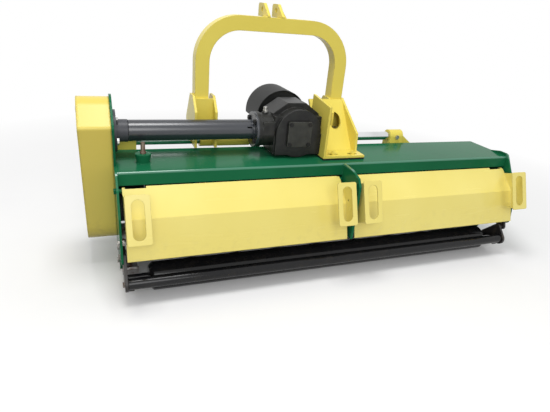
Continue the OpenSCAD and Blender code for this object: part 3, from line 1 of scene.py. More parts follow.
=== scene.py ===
import bmesh
import bpy
import numpy as np
from mathutils import Matrix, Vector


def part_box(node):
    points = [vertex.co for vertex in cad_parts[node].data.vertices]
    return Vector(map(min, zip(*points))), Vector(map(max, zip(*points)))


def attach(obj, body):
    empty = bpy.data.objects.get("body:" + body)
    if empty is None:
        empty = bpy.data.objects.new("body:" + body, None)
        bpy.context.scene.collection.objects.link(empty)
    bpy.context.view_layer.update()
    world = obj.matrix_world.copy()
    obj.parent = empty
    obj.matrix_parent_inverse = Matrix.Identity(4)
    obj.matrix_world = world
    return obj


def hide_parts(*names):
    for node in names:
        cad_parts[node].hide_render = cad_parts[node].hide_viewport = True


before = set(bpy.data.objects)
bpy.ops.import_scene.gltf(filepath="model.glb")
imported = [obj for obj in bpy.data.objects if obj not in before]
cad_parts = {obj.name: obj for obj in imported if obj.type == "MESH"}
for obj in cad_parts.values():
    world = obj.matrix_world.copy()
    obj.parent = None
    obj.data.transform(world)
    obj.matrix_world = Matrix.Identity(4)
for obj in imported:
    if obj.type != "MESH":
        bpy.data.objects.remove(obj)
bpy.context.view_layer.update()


# Deck, centre divider and parking socket. Folded and welded steel sheet that roofs the rotor,
# primed and sprayed with glossy green enamel as one weldment.
class Tone:
    """A value or colour on its way through a finish. Sums on it add Math nodes, mix() blends two
    colours by it, and node() adds any other node."""
    SHARE, NONE, FULL, COLOUR = 0, 6, 7, 2  # a Mix node's sockets for colours, and its output

    def __init__(self, tree, socket):
        self.tree, self.socket = tree, socket

    def node(self, kind, settings, inputs, out=0):
        """A new node: its settings first, then its inputs' values or links. Gives its output."""
        made = self.tree.nodes.new("ShaderNode" + kind)
        for name, value in settings.items():
            setattr(made, name, value)
        for socket, value in inputs.items():
            if isinstance(value, Tone):
                self.tree.links.new(value.socket, made.inputs[socket])
            else:
                made.inputs[socket].default_value = value
        return Tone(self.tree, made.outputs[out] if len(made.outputs) else None)

    def __add__(self, other):
        return self.node("Math", {"operation": "ADD"}, {0: self, 1: other})

    def __sub__(self, other):
        return self.node("Math", {"operation": "SUBTRACT"}, {0: self, 1: other})

    def __rsub__(self, other):
        return self.node("Math", {"operation": "SUBTRACT"}, {0: other, 1: self})

    def __mul__(self, other):
        return self.node("Math", {"operation": "MULTIPLY"}, {0: self, 1: other})

    __radd__ = __add__
    __rmul__ = __mul__

    def span(self, low, high):
        """0 at low, 1 at high, straight between them and held beyond."""
        limits = {"Value": self, "From Min": low, "From Max": high}
        return self.node("MapRange", {"clamp": True}, limits)

    def mix(self, none, full):
        """The colour none where this is 0, and full where it is 1."""
        colours = {self.SHARE: self, self.NONE: none, self.FULL: full}
        return self.node("Mix", {"data_type": "RGBA"}, colours, self.COLOUR)


def finish(name):
    """Starts a finish: an empty material of that name, and the place on the piece, in metres."""
    made = bpy.data.materials.new(name)
    made.use_nodes = True
    nodes = made.node_tree.nodes
    nodes.clear()
    return made, Tone(made.node_tree, nodes.new("ShaderNodeTexCoord").outputs["Object"])


def close(place, sockets):
    """Ends a finish: one Principled shader with these sockets on the surface."""
    shader = place.node("BsdfPrincipled", {}, sockets)
    place.node("OutputMaterial", {}, {"Surface": shader})


def mottle(place, scale, detail, stretch=(1.0, 1.0, 1.0)):
    """Noise from 0 to 1 with lumps of 1 / scale metres, drawn out along an axis whose stretch is
    under 1."""
    drawn = place.node("Mapping", {}, {"Vector": place, "Scale": stretch})
    return place.node("TexNoise", {}, {"Vector": drawn, "Scale": scale, "Detail": detail})


BEVEL_SAMPLES = 6


def corner(place, radius):
    """(rounded normal, edge share). The normal is averaged over radius, as at a bent or filed
    corner; the share is 1 less its cosine with the flat face, spread over 0 to 1."""
    rounded = place.node("Bevel", {"samples": BEVEL_SAMPLES}, {"Radius": radius})
    flat = place.node("NewGeometry", {}, {}, "True Normal")
    pair = {0: rounded, 1: flat}
    cosine = place.node("VectorMath", {"operation": "DOT_PRODUCT"}, pair, "Value")
    return rounded, (1 - cosine).span(low=0.02, high=0.25)


def rise(place, bumps, rounded, strength, depth):
    """A normal that follows bumps, depth metres high, over the rounded corners."""
    return place.node("Bump", {}, {"Strength": strength, "Distance": depth, "Height": bumps,
                                   "Normal": rounded})


def along(place, axis):
    """How far along one axis, X to the right, Y forward or Z up, the place is, in metres."""
    return place.node("SeparateXYZ", {}, {"Vector": place}, axis)


EARTH = (0.19, 0.15, 0.105, 1.0)
MIDDLE = (0.3, 0.7)  # where most of a noise lies
KNEE, SOIL_DEPTH = 0.28, 0.26  # height that soil splashes to, and the depth to its thickest
PEEL_COARSE = 0.6  # share of the wide waves in the orange peel
CLOUD_DULL, RUB_DULL, SOIL_DULL, EDGE_DULL, MEAN_DULL = 0.08, 0.08, 0.4, 0.04, 0.05
# The fold line's width in metres, how far its painted highlight lightens the colour, and the
# roughness of its clear coat.
FOLD_WIDTH, FOLD_HIGHLIGHT_SHARE, FOLD_COAT_ROUGH = 0.003, 0.75, 0.15


def enamel(name, deep, light, chip_and_highlight, gloss, bend, soil, shine, fold=None):
    """Sprayed paint. Colour runs from deep to light in slow clouds, turns to the chip colour where
    the film is chipped along edges, which is partly a painted edge highlight where that colour is
    paler than the paint, and is dulled by splashes of soil below knee height. Roughness is gloss
    plus cloud, polishing marks and soil; the bump is orange peel over corners rounded by bend;
    shine is the strength of the clear surface reflection. Behind and above the line fold, given as
    its forward distance and height, the colour is lightened towards the chip colour as a painted
    highlight, and a clear coat adds gloss."""
    made, place = finish(name)
    cloud = mottle(place, scale=2.6, detail=3.0)
    rounded, edge = corner(place, bend)
    # Chips along edges. Where the chip colour is paler than the paint, as on the green and the
    # black, this also paints a highlight on the edges.
    chip_and_edge_highlight = edge * mottle(place, scale=70.0, detail=4.0).span(low=0.5, high=0.64)
    marks = mottle(place, scale=26.0, detail=5.0, stretch=(0.12, 1.0, 1.0))
    rubbed = marks.span(low=0.6, high=0.74)
    low = (KNEE - along(place, "Z")).span(low=0.0, high=SOIL_DEPTH)
    splash = mottle(place, scale=38.0, detail=7.0).span(low=0.5, high=0.72) * low * soil
    colour = splash.mix(chip_and_edge_highlight.mix(cloud.span(*MIDDLE).mix(deep, light), chip_and_highlight), EARTH)
    fold_coat = {}
    if fold:
        behind = (fold[0] - along(place, "Y")).span(low=0.0, high=FOLD_WIDTH)
        above = (along(place, "Z") - fold[1]).span(low=0.0, high=FOLD_WIDTH)
        fold_highlight_and_coat = behind * above
        # Painted highlight: the colour is lightened along the fold. The clear coat there is real
        # gloss.
        colour = (fold_highlight_and_coat * FOLD_HIGHLIGHT_SHARE).mix(colour, chip_and_highlight)
        fold_coat = {"Coat Weight": fold_highlight_and_coat, "Coat Roughness": FOLD_COAT_ROUGH}
    rough = (cloud * CLOUD_DULL + rubbed * RUB_DULL + splash * SOIL_DULL + edge * EDGE_DULL
             + (gloss - MEAN_DULL))
    peel = (mottle(place, scale=300.0, detail=1.0)
            + mottle(place, scale=55.0, detail=2.0) * PEEL_COARSE)
    normal = rise(place, peel, rounded, strength=0.06, depth=0.0006)
    close(place, {"Base Color": colour, "Roughness": rough, "Normal": normal,
                  "Specular IOR Level": shine, **fold_coat})
    return made


def dress(made, *nodes):
    """Gives these solids that finish in place of their plain one."""
    for name in nodes:
        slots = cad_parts[name].data.materials
        slots.clear()
        slots.append(made)


MERGE = 1e-7


def surface(name, grid, looped, body, made):
    """A mesh from a grid of points: row by row along a path, closed point by point around its
    profile. A looped path runs back into its start; each small square of the grid is one face,
    rows that shrink to a point are merged there, and the piece rides on a body."""
    rows, columns = grid.shape[:2]
    first = np.arange(rows if looped else rows - 1)[:, None]
    second = np.arange(columns)[None, :]
    down, right = (first + 1) % rows, (second + 1) % columns
    quads = np.stack([first * columns + second, first * columns + right,
                      down * columns + right, down * columns + second], axis=-1).reshape(-1, 4)
    mesh = bpy.data.meshes.new(name)
    mesh.from_pydata(grid.reshape(-1, 3).tolist(), [], quads.tolist())
    shape = bmesh.new()
    shape.from_mesh(mesh)
    bmesh.ops.remove_doubles(shape, verts=shape.verts, dist=MERGE)
    bmesh.ops.recalc_face_normals(shape, faces=shape.faces)
    shape.to_mesh(mesh)
    shape.free()
    mesh.polygons.foreach_set("use_smooth", np.ones(len(mesh.polygons), bool))
    mesh.materials.append(made)
    piece = bpy.data.objects.new(name, mesh)
    bpy.context.scene.collection.objects.link(piece)
    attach(piece, body)
    return piece


MM = 0.001
WORKSHOP = np.array([0.054, -0.3275, 0.0])  # the drawing's zero, in the frame
FULL_TURN = 2 * np.pi
BEAD_STEP, POOL, RIPPLE, BEAD_SIDES = 0.35, 1.4, 1 / 8, 12  # all but the last in bead radii


def bead(name, points, size, body, made):
    """A weld run along straight stretches between points, which are in the drawing's millimetres.
    A round bar of radius size ripples by an eighth of it at every pool, and closes to a point at
    its ends as the square root of the distance left. Its rings are squared to the run from the
    axis that the run follows least."""
    corners = np.array(points) * MM + WORKSHOP
    lengths = np.linalg.norm(np.diff(corners, axis=0), axis=1)
    knots = np.concatenate([[0.0], np.cumsum(lengths)])
    run = np.linspace(0.0, knots[-1], int(knots[-1] / (size * BEAD_STEP)) + 2)
    line = np.stack([np.interp(run, knots, corners[:, axis]) for axis in range(3)], -1)
    ahead = np.gradient(line, axis=0)
    ahead /= np.linalg.norm(ahead, axis=1, keepdims=True)
    side = np.cross(ahead, np.eye(3)[np.abs(ahead).max(axis=0).argmin()])
    side /= np.linalg.norm(side, axis=1, keepdims=True)
    swell = size * (1.0 + RIPPLE * np.cos(FULL_TURN * run / (size * POOL)))
    swell *= np.sqrt(np.clip(np.minimum(run, knots[-1] - run) / size, 0.0, 1.0))
    turn = np.linspace(0.0, FULL_TURN, BEAD_SIDES, endpoint=False)[None, :, None]
    ring = np.cos(turn) * side[:, None] + np.sin(turn) * np.cross(side, ahead)[:, None]
    return surface(name, line[:, None] + swell[:, None, None] * ring, False, body, made)


# The deck's rear fold, forward and up in metres. The green is lightened along it as a painted
# highlight.
REAR_FOLD = (-0.1225, 0.4445)
green_enamel = enamel("green_enamel", deep=(0.008, 0.12, 0.05, 1), light=(0.013, 0.152, 0.065, 1),
                      chip_and_highlight=(0.07, 0.23, 0.15, 1), gloss=0.17, bend=0.003, soil=0.35, shine=0.05,
                      fold=REAR_FOLD)
dress(green_enamel, "deck", "centre_divider", "parking_socket")

SHEET_BEAD = 0.0028
SOCKET_X, SOCKET_Y, SOCKET_FOOT_R, SOCKET_STEPS, DECK_Z = -787.0, 295.0, 23.5, 49, 453.0
round_turn = np.linspace(0.0, FULL_TURN, SOCKET_STEPS)
bead("weld_socket", np.stack([SOCKET_X + SOCKET_FOOT_R * np.cos(round_turn),
                              SOCKET_Y + SOCKET_FOOT_R * np.sin(round_turn),
                              np.full(round_turn.size, DECK_Z)], -1),
     SHEET_BEAD, "mower_body", green_enamel)
DIVIDER_X, FLANGE_Y, FLANGE_LOW_Z, FOLD_LOW_Z = 5.0, 197.0, 404.0, 446.0
for side_name, side_x in (("left", -DIVIDER_X), ("right", DIVIDER_X)):
    bead("weld_divider_" + side_name,
         [(side_x, FLANGE_Y, FLANGE_LOW_Z), (side_x, FLANGE_Y, FOLD_LOW_Z)],
         SHEET_BEAD, "mower_body", green_enamel)


# Side plates. Thick steel plates in the same green, with the deck welded between them; the left one
# reaches up to the drive line and backs the belt guard.
dress(green_enamel, "left_side_plate", "right_side_plate")


# Runners. Flat steel soles with a web, bolted inside the feet of the side plates. They have no
# paint left, because the ground keeps them bright.
def shade(colour, share, lift=0.0):
    """A colour times share plus lift, and opaque."""
    return tuple(c * share + lift for c in colour[:3]) + (1.0,)


RUST = (0.24, 0.085, 0.03, 1.0)
RUST_FROM, RUST_TO = 0.72, 0.86
DEEP_RUST, RUST_BARE, STREAK_RISE = 0.45, 0.9, 0.5
STREAK_DULL, RUST_DULL, STEEL_MEAN = 0.14, 0.4, 0.04
EVEN = (1.0, 1.0, 1.0)


def worn_steel(name, deep, light, rusting, gloss, bend, rust=RUST, drawn=EVEN):
    """Bare steel. Metal runs from deep to light in drawn-out streaks; rust grows in patches whose
    share is rusting, and takes the metal away; roughness rises with both."""
    made, place = finish(name)
    streak = mottle(place, scale=60.0, detail=4.0, stretch=drawn)
    rounded, edge = corner(place, bend)
    patch = mottle(place, scale=22.0, detail=6.0)
    rusty = patch.span(RUST_FROM - rusting, RUST_TO - rusting)
    grain = mottle(place, scale=500.0, detail=3.0)
    stain = grain.span(*MIDDLE).mix(rust, shade(rust, DEEP_RUST))
    colour = rusty.mix(edge.mix(streak.span(*MIDDLE).mix(deep, light), light), stain)
    rough = streak * STREAK_DULL + rusty * RUST_DULL + (gloss - STEEL_MEAN)
    bumps = streak * STREAK_RISE + rusty * grain
    normal = rise(place, bumps, rounded, strength=0.18, depth=0.0005)
    close(place, {"Base Color": colour, "Roughness": rough, "Metallic": 1 - rusty * RUST_BARE,
                  "Normal": normal})
    return made


ground_steel = worn_steel("ground_steel", deep=(0.3, 0.29, 0.28, 1), light=(0.52, 0.51, 0.5, 1),
                          rusting=0.2, gloss=0.34, bend=0.002, drawn=(1.0, 0.06, 1.0))
dress(ground_steel, "runners")


# Plate bolts. Zinc-plated hexagon bolts, dulled by weather, that hold the roller's brackets, the
# scraper and the runners to the side plates.
zinc_plate = worn_steel("zinc_plate", deep=(0.36, 0.36, 0.34, 1), light=(0.56, 0.55, 0.51, 1),
                        rusting=0.04, gloss=0.32, bend=0.0012)
weathered_zinc = worn_steel("weathered_zinc", deep=(0.2, 0.19, 0.18, 1),
                            light=(0.34, 0.32, 0.29, 1), rust=(0.13, 0.075, 0.045, 1),
                            rusting=0.2, gloss=0.42, bend=0.0012)
dress(weathered_zinc, "plate_bolts")


# Socket pin. A round steel bar with a six-sided collar that rests on the parking socket. It was
# never painted and is rusted all over.
rusted_bar = worn_steel("rusted_bar", deep=(0.2, 0.15, 0.12, 1), light=(0.34, 0.26, 0.21, 1),
                        rust=(0.2, 0.11, 0.07, 1), rusting=0.26, gloss=0.5, bend=0.0015,
                        drawn=(1.0, 1.0, 0.4))
dress(rusted_bar, "socket_pin")


# Rotor. A steel tube with welded lugs on two stub shafts in flanged cast housings; cast hammer
# flails swing on bolts through the lugs.
rotor_steel = worn_steel("rotor_steel", deep=(0.1, 0.1, 0.1, 1), light=(0.19, 0.185, 0.18, 1),
                         rusting=0.24, gloss=0.5, bend=0.002, drawn=(0.3, 1.0, 1.0))
turned_steel = worn_steel("turned_steel", deep=(0.42, 0.42, 0.42, 1), light=(0.6, 0.6, 0.59, 1),
                          rusting=0.04, gloss=0.24, bend=0.0012, drawn=(1.0, 0.05, 0.05))
hammer_steel = worn_steel("hammer_steel", deep=(0.16, 0.155, 0.15, 1), light=(0.3, 0.29, 0.28, 1),
                          rusting=0.26, gloss=0.42, bend=0.003, drawn=(1.0, 1.0, 0.2))

DUST, SAND_RISE, CAST_SHINE = 0.08, 0.5, 0.3
LUMP_DULL, SAND_DULL, DUST_DULL, CAST_MEAN = 0.16, 0.1, 0.12, 0.12
# How much lighter edges are: partly worn paint, partly a painted highlight.
WEAR_HIGHLIGHT_SHARE, WEAR_HIGHLIGHT_LIFT = 2.4, 0.03


def casting(name, deep, light, gloss, bend, grit):
    """Painted sand casting. Colour runs from deep to light with the lumps of the mould, and is
    lighter on edges, partly as worn paint and partly as a painted highlight; the bump is sand grit
    over slow waves, with corners rounded by bend."""
    made, place = finish(name)
    lump = mottle(place, scale=34.0, detail=4.0)
    sand = mottle(place, scale=420.0, detail=3.0)
    rounded, edge = corner(place, bend)
    # Edges lightened in patches: partly worn paint, partly a painted highlight.
    edge_wear_and_highlight = edge * mottle(place, scale=60.0, detail=4.0).span(low=0.4, high=0.65)
    settled = mottle(place, scale=16.0, detail=5.0).span(low=0.55, high=0.85)
    painted = edge_wear_and_highlight.mix(lump.span(*MIDDLE).mix(deep, light), shade(light, WEAR_HIGHLIGHT_SHARE, WEAR_HIGHLIGHT_LIFT))
    colour = (settled * DUST).mix(painted, EARTH)
    rough = lump * LUMP_DULL + sand * SAND_DULL + settled * DUST_DULL + (gloss - CAST_MEAN)
    bumps = sand * SAND_RISE + lump
    normal = rise(place, bumps, rounded, strength=grit, depth=0.0012)
    close(place, {"Base Color": colour, "Roughness": rough, "Normal": normal,
                  "Specular IOR Level": CAST_SHINE})
    return made


grey_casting = casting("grey_casting", deep=(0.1, 0.1, 0.1, 1), light=(0.16, 0.16, 0.155, 1),
                       gloss=0.6, bend=0.003, grit=0.3)
dress(rotor_steel, "rotor_tube")
dress(turned_steel, "rotor_stubs")
dress(grey_casting, "rotor_bearings")
dress(zinc_plate, "bearing_bolts", "flail_bolts")
dress(hammer_steel, "flails_low", "flails_front", "flails_rear")


# Belt drive. Two equal cast pulleys with three grooves, an idler wheel on a stepped pin, and three
# wrapped V-belts of black rubber and cord.
grooved_iron = casting("grooved_iron", deep=(0.15, 0.15, 0.15, 1), light=(0.24, 0.235, 0.23, 1),
                       gloss=0.5, bend=0.0015, grit=0.16)
dress(grooved_iron, "drive_pulley", "rotor_pulley", "idler_wheel")
dress(zinc_plate, "belt_tensioner", "guard_studs")

DRIVE, ROTOR = np.array([0.365, 0.554]), np.array([0.44, 0.215])  # shafts: forward, up
PULLEY_R, BELT_T, BELT_PITCH, BELT_STEPS = 0.092, 0.008, 0.019, 41
BELT_TOP, BELT_LOW, BACK_SHARE = 0.0063, 0.0043, 0.92  # half widths, and the back's share
BACK_TOP = BELT_TOP * BACK_SHARE
BELT_ACROSS = np.array([-BELT_LOW, BELT_LOW, BELT_TOP, BACK_TOP, 0.0, -BACK_TOP, -BELT_TOP])
BELT_DEEP = np.array([0.98, 0.98, 0.2, 0.04, 0.0, 0.04, 0.2])  # shares of the belt's thickness


def belt(middle):
    """One belt: a V profile with a crowned back, carried round both pulleys. The path is a half
    turn round each pulley joined by straight runs; a point is the pulley's middle plus its radius
    along the turn, and stands off across the belt by the profile."""
    line = ROTOR - DRIVE
    lean = np.arctan2(line[1], line[0])
    half = np.linspace(np.pi / 2, 3 * np.pi / 2, BELT_STEPS)
    turn = np.concatenate([half, half + np.pi]) + lean
    centre = np.repeat(np.stack([DRIVE, ROTOR]), half.size, axis=0)
    out = PULLEY_R - BELT_T * BELT_DEEP
    ray = np.stack([np.cos(turn), np.sin(turn)], -1)
    grid = np.empty((turn.size, BELT_ACROSS.size, 3))
    grid[..., 0] = middle + BELT_ACROSS
    grid[..., 1:] = centre[:, None] + ray[:, None] * out[None, :, None]
    return grid + WORKSHOP


RUBBER_BEND, EDGE_BLOOM, BLOOM_DULL, RUBBER_ROUGH = 0.001, 0.3, 0.2, 0.6


def rubber(name, deep, light):
    """Moulded rubber: nearly black, bloomed to light in patches, dull, with a woven bump."""
    made, place = finish(name)
    bloom = mottle(place, scale=18.0, detail=5.0)
    weave = mottle(place, scale=700.0, detail=2.0, stretch=(1.0, 0.3, 0.3))
    rounded, edge = corner(place, RUBBER_BEND)
    colour = (bloom.span(low=0.4, high=0.75) + edge * EDGE_BLOOM).mix(deep, light)
    normal = rise(place, weave, rounded, strength=0.25, depth=0.0004)
    close(place, {"Base Color": colour, "Roughness": bloom * BLOOM_DULL + RUBBER_ROUGH,
                  "Normal": normal})
    return made


black_rubber = rubber("black_rubber", deep=(0.012, 0.012, 0.012, 1), light=(0.05, 0.048, 0.045, 1))
belt_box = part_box("drive_belts")
belt_middle = (belt_box[0].x + belt_box[1].x) / 2 - WORKSHOP[0]
for groove_name, groove in (("left", -1), ("middle", 0), ("right", 1)):
    v_belt = surface("v_belt_" + groove_name, belt(belt_middle + groove * BELT_PITCH), True,
                     "mower_body", black_rubber)
    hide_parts("drive_belts")


# Belt guard. A cover pressed from steel sheet with well rounded edges, in pale yellow enamel. Long
# studs from the left plate hold it over the belts.
pressed_yellow = enamel("pressed_yellow", deep=(0.75, 0.6, 0.11, 1), light=(0.81, 0.66, 0.14, 1),
                        chip_and_highlight=(0.5, 0.42, 0.2, 1), gloss=0.3, bend=0.01, soil=0.35, shine=0.3)
dress(pressed_yellow, "belt_guard")


# Drive collar. A flanged cast sleeve bolted to the left plate; bearings in it carry the driven
# sleeve that the cross shaft slides in.
collar_casting = casting("collar_casting", deep=(0.05, 0.052, 0.06, 1),
                         light=(0.075, 0.078, 0.088, 1), gloss=0.4, bend=0.003, grit=0.25)
dress(collar_casting, "collar_flange")
dress(turned_steel, "collar_bearings", "drive_quill")
bright_zinc = worn_steel("bright_zinc", deep=(0.66, 0.66, 0.64, 1), light=(0.84, 0.83, 0.8, 1),
                         rusting=0.01, gloss=0.34, bend=0.0012)
dress(bright_zinc, "collar_bolts")


# Slide rail. A hard-chromed bar in two yellow holders, which stand on the front slope of the deck.
# One screw pins it on the right.
BRIGHT, HANDLED, CHROME_BEND = (0.78, 0.79, 0.8, 1), (0.62, 0.62, 0.62, 1), 0.0012
RING_DULL, TOUCH_DULL, END_DULL, CHROME_ROUGH = 0.06, 0.1, 0.1, 0.05


def chrome(name):
    """Ground and plated bar: bright metal with fine rings from grinding and faint handling
    marks."""
    made, place = finish(name)
    ring = mottle(place, scale=900.0, detail=2.0, stretch=(1.0, 0.02, 0.02))
    touch = mottle(place, scale=9.0, detail=5.0)
    rounded, edge = corner(place, CHROME_BEND)
    colour = touch.span(low=0.35, high=0.8).mix(BRIGHT, HANDLED)
    rough = (ring * RING_DULL + touch.span(low=0.4, high=0.8) * TOUCH_DULL + edge * END_DULL
             + CHROME_ROUGH)
    normal = rise(place, ring, rounded, strength=0.04, depth=0.0002)
    close(place, {"Base Color": colour, "Roughness": rough, "Metallic": 1.0, "Normal": normal})
    return made


dress(chrome("hard_chrome"), "slide_rail")
yellow_enamel = enamel("yellow_enamel", deep=(0.76, 0.625, 0.1, 1), light=(0.82, 0.69, 0.13, 1),
                       chip_and_highlight=(0.3, 0.18, 0.08, 1), gloss=0.3, bend=0.003, soil=0.3, shine=0.3)
dress(yellow_enamel, "rail_holder_left", "rail_holder_right")
dress(zinc_plate, "holder_screw")


# Headstock. A hoop of square tube welded into two plate feet, with lugs for the top link; sleeves
# with bronze bushes run on the rail, and a plastic pad slides on the deck.
FLOW_SHARE, EDGE_SHARE, PLASTIC_SHINE = 0.8, 0.2, 0.25
FLOW_DULL, GRAIN_DULL, PLASTIC_MEAN = 0.16, 0.08, 0.12


def plain_plastic(name, deep, light, gloss, bend):
    """Moulded plastic: even colour with slow flow marks, and the fine grain of the mould as
    bump."""
    made, place = finish(name)
    flow = mottle(place, scale=8.0, detail=3.0, stretch=(1.0, 0.4, 1.0))
    grain = mottle(place, scale=380.0, detail=2.0)
    rounded, edge = corner(place, bend)
    colour = (flow.span(*MIDDLE) * FLOW_SHARE + edge * EDGE_SHARE).mix(deep, light)
    rough = flow * FLOW_DULL + grain * GRAIN_DULL + (gloss - PLASTIC_MEAN)
    normal = rise(place, grain, rounded, strength=0.15, depth=0.0004)
    close(place, {"Base Color": colour, "Roughness": rough, "Normal": normal,
                  "Specular IOR Level": PLASTIC_SHINE})
    return made


moulded_black = plain_plastic("moulded_black", deep=(0.011, 0.012, 0.011, 1),
                              light=(0.019, 0.02, 0.018, 1), gloss=0.5, bend=0.003)
bushing_bronze = worn_steel("bushing_bronze", deep=(0.42, 0.27, 0.1, 1), light=(0.6, 0.42, 0.19, 1),
                            rust=(0.1, 0.12, 0.06, 1), rusting=0.08, gloss=0.3, bend=0.001,
                            drawn=(1.0, 0.08, 0.08))
dress(yellow_enamel, "hoop", "link_lugs", "left_foot", "right_foot", "slide_sleeves", "foot_bolts")
dress(bushing_bronze, "slide_bushes")
# The pad is black partly as painted shade: it stands for the dark shadow line under the foot's
# flange.
dress(moulded_black, "slide_pad")
dress(turned_steel, "hitch_pins")

LUG_BEAD, FOOT_BEAD = 0.0035, 0.003
LUG_X, LUG_HALF, HOOP_Y, HOOP_HALF, HOOP_TOP_Z = -248.0, 36.0, 495.0, 27.0, 972.0
for side_name, side_x in (("left", LUG_X - LUG_HALF), ("right", LUG_X + LUG_HALF)):
    bead("weld_lug_" + side_name,
         [(side_x, HOOP_Y - HOOP_HALF, HOOP_TOP_Z), (side_x, HOOP_Y + HOOP_HALF, HOOP_TOP_Z)],
         LUG_BEAD, "headstock", yellow_enamel)
WALL_X, LEG_X, SOLE_Z, SOLE_REAR_Y, LEAN_Y = -69.0, 90.0, 470.4, 246.0, 317.0
bead("weld_foot_wall", [(WALL_X, SOLE_REAR_Y, SOLE_Z), (WALL_X, LEAN_Y, SOLE_Z)],
     FOOT_BEAD, "headstock", yellow_enamel)
bead("weld_foot_lean", [(WALL_X, LEAN_Y, SOLE_Z), (LEG_X, LEAN_Y, SOLE_Z)],
     FOOT_BEAD, "headstock", yellow_enamel)


# Gearbox. A black-painted iron casting with a square rear cover held by dark bolts; inside, a crown
# gear turns the pinion of the cross shaft, both in rolling bearings.
black_casting = casting("black_casting", deep=(0.007, 0.007, 0.007, 1),
                        light=(0.021, 0.022, 0.02, 1), gloss=0.36, bend=0.004, grit=0.45)
cover_casting = casting("cover_casting", deep=(0.022, 0.023, 0.019, 1),
                        light=(0.043, 0.044, 0.038, 1), gloss=0.38, bend=0.004, grit=0.35)
bolt_black = casting("bolt_black", deep=(0.003, 0.003, 0.003, 1), light=(0.007, 0.007, 0.007, 1),
                     gloss=0.5, bend=0.001, grit=0.1)
dress(black_casting, "gearbox_casting")
dress(cover_casting, "gearbox_cover")
dress(bolt_black, "gearbox_bolts")
dress(zinc_plate, "breather_plug")
dress(turned_steel, "gearbox_bearings", "input_shaft", "crown_gear", "pinion_shaft")


# Guard tube and cowl. The tube that covers the cross shaft is black-painted steel; the cowl round
# the input shaft is moulded black plastic on the gearbox's front neck.
tube_enamel = enamel("tube_enamel", deep=(0.024, 0.027, 0.034, 1), light=(0.034, 0.038, 0.047, 1),
                     chip_and_highlight=(0.12, 0.12, 0.12, 1), gloss=0.26, bend=0.006, soil=0.1, shine=0.75)
dress(tube_enamel, "guard_tube")
dress(moulded_black, "cowl")


# Rear doors. Steel sheet in yellow enamel, creased once along its length. They hang at their top
# corners from bolts through the side plates and a rod through the divider, and two slotted grip
# plates are welded on each.
# The door yellow is paler than the frame's: partly a paler paint, partly painted sheen.
door_enamel = enamel("door_enamel", deep=(0.82, 0.69, 0.17, 1), light=(0.87, 0.75, 0.22, 1),
                     chip_and_highlight=(0.5, 0.42, 0.2, 1), gloss=0.26, bend=0.003, soil=0.3, shine=0.4)
dress(door_enamel, "left_door", "right_door", "left_handles", "right_handles")
dress(green_enamel, "hinge_bolts")

DOOR_OUT_X, DOOR_IN_X, WEB_T = 871.0, 17.0, 5.0
WEB_LINE = np.array([(171.75, 379.5), (105.0, 315.0), (77.9, 236.0)])  # down the door: forward, up
for door_name, way in (("left", -1), ("right", 1)):
    for end_name, web_x in (("outer", DOOR_OUT_X - WEB_T), ("inner", DOOR_IN_X + WEB_T)):
        bead(f"weld_{door_name}_{end_name}_web", np.insert(WEB_LINE, 0, way * web_x, axis=1),
             SHEET_BEAD, door_name + "_rear_door", door_enamel)


# Rear roller and scraper. A black steel roller on stub axles between two bracket plates, and a
# black tube behind it that knocks off mud.
roller_black = enamel("roller_black", deep=(0.006, 0.006, 0.007, 1), light=(0.011, 0.011, 0.012, 1),
                      chip_and_highlight=(0.04, 0.036, 0.032, 1), gloss=0.13, bend=0.006, soil=0.06, shine=0.3)
bracket_black = enamel("bracket_black", deep=(0.014, 0.013, 0.013, 1),
                       light=(0.03, 0.027, 0.026, 1), chip_and_highlight=(0.09, 0.055, 0.04, 1), gloss=0.4,
                       bend=0.003, soil=0.5, shine=0.35)
dress(roller_black, "rear_roller", "scraper_tube")
dress(bracket_black, "roller_brackets")


# Front curtain. Steel flaps side by side on one rod under the hood's lip, painted black; they swing
# in to let the crop pass and fall back by their weight.
dress(zinc_plate, "curtain_rod")
dress(bracket_black, "curtain_flaps")


# Studio. A pale floor that fades into a white surround, one small soft lamp above, one wide soft
# lamp behind the camera, and an even dome of light. The camera stands where the photo's did.
def shown(place):
    """1 for what the camera sees, straight, mirrored or through glass, and 0 for light that is
    scattered."""
    rays = [place.node("LightPath", {}, {}, kind)
            for kind in ("Is Camera Ray", "Is Glossy Ray", "Is Transmission Ray")]
    return (rays[0] + rays[1] + rays[2]).span(low=0.0, high=1.0)


WHITE, OFF_WHITE, DIM = (0.97, 0.97, 0.97, 1.0), (0.93, 0.93, 0.93, 1.0), (0.2, 0.2, 0.2, 1.0)
LIGHT, FIBRE_DULL, PAPER_ROUGH = (1.0, 1.0, 1.0, 1.0), 0.1, 0.85
CLEAR_FROM, CLEAR_TO, FLOOR_REACH = 1.2, 2.8, 14.0
paper, spot = finish("pale_paper")
fibre = mottle(spot, scale=3.0, detail=3.0)
visible = shown(spot)
distance = spot.node("VectorMath", {"operation": "LENGTH"}, {0: spot}, "Value")
away = distance.span(CLEAR_FROM, CLEAR_TO)
matt = spot.node("BsdfPrincipled", {}, {
    "Base Color": visible.mix(DIM, fibre.mix(WHITE, OFF_WHITE)),
    "Roughness": fibre * FIBRE_DULL + PAPER_ROUGH, "Specular IOR Level": 0.0})
glow = spot.node("Emission", {}, {"Color": LIGHT, "Strength": 1.0})
faded = spot.node("MixShader", {}, {0: away * visible, 1: matt, 2: glow})
spot.node("OutputMaterial", {}, {"Surface": faded})
reach = np.array([-FLOOR_REACH, FLOOR_REACH])
floor_grid = np.zeros((2, 2, 3))
floor_grid[..., 0], floor_grid[..., 1] = reach[None, :], reach[:, None]
floor_mesh = bpy.data.meshes.new("floor")
floor_mesh.from_pydata(floor_grid.reshape(-1, 3).tolist(), [], [(0, 1, 3, 2)])
floor_mesh.materials.append(paper)
floor = bpy.data.objects.new("floor", floor_mesh)
bpy.context.scene.collection.objects.link(floor)

NEARLY_FORWARD = (0.0, 1.0, 0.001)  # tilted a little, so that a lamp may aim straight forward
LAST_ROW = (0, 0, 0, 1)


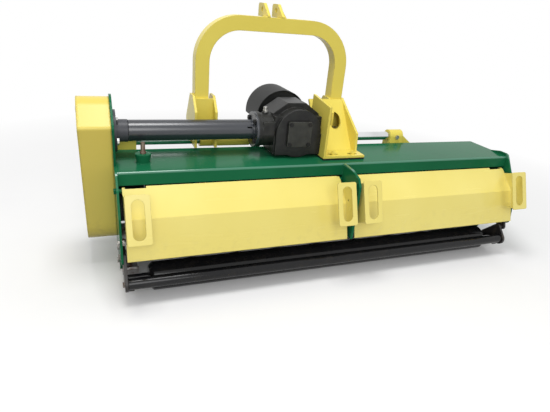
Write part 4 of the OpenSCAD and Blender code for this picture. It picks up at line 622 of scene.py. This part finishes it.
def placed(right, up, back, where):
    """A place in space: its right, up and back directions and its middle, as columns."""
    columns = np.column_stack([right, up, back, where])
    return Matrix(np.vstack([columns, LAST_ROW]).tolist())


def lamp(name, size, power, where, target):
    """A square soft lamp at where that faces target."""
    light = bpy.data.lights.new(name, "AREA")
    light.size, light.energy = size, power
    made = bpy.data.objects.new(name, light)
    bpy.context.scene.collection.objects.link(made)
    back = np.array(where, float) - np.array(target, float)
    back /= np.linalg.norm(back)
    side = np.cross(NEARLY_FORWARD, back)
    side /= np.linalg.norm(side)
    made.matrix_world = placed(side, np.cross(back, side), back, where)


HEART = (0.0, 0.0, 0.4)  # the middle of the machine
lamp("top_softbox", size=1.1, power=44.0, where=(-0.6, -0.4, 3.4), target=HEART)
lamp("rear_softbox", size=3.0, power=128.0, where=(-1.2, -5.6, 3.2), target=HEART)

DOME = 0.62
world = bpy.data.worlds.new("pale_surround")
bpy.context.scene.world = world
world.use_nodes = True
world.node_tree.nodes.clear()
sky = Tone(world.node_tree, None)
strength = shown(sky) * (1.0 - DOME) + DOME
surround = sky.node("Background", {}, {"Color": LIGHT, "Strength": strength})
sky.node("OutputWorld", {}, {"Surface": surround})

YAW, PITCH, ROLL = np.radians([22.71, 24.24, 5.46])
EYE = np.array([-0.8745, -1.6545, 1.027])
FOCUS_PX, WIDTH_PX, SENSOR = 450.0, 550.0, 36.0
ahead = np.array([np.sin(YAW) * np.cos(PITCH), np.cos(YAW) * np.cos(PITCH), -np.sin(PITCH)])
level = np.array([np.cos(YAW), -np.sin(YAW), 0.0])
upright = np.cross(level, ahead)
right = np.cos(ROLL) * level + np.sin(ROLL) * upright
up = -np.sin(ROLL) * level + np.cos(ROLL) * upright
camera_data = bpy.data.cameras.new("camera")
camera_data.sensor_fit, camera_data.sensor_width = "HORIZONTAL", SENSOR
camera_data.lens = FOCUS_PX / WIDTH_PX * SENSOR
camera = bpy.data.objects.new("camera", camera_data)
bpy.context.scene.collection.objects.link(camera)
camera.matrix_world = placed(right, up, -ahead, EYE)
bpy.context.scene.camera = camera
bpy.context.scene.view_settings.view_transform = "Standard"
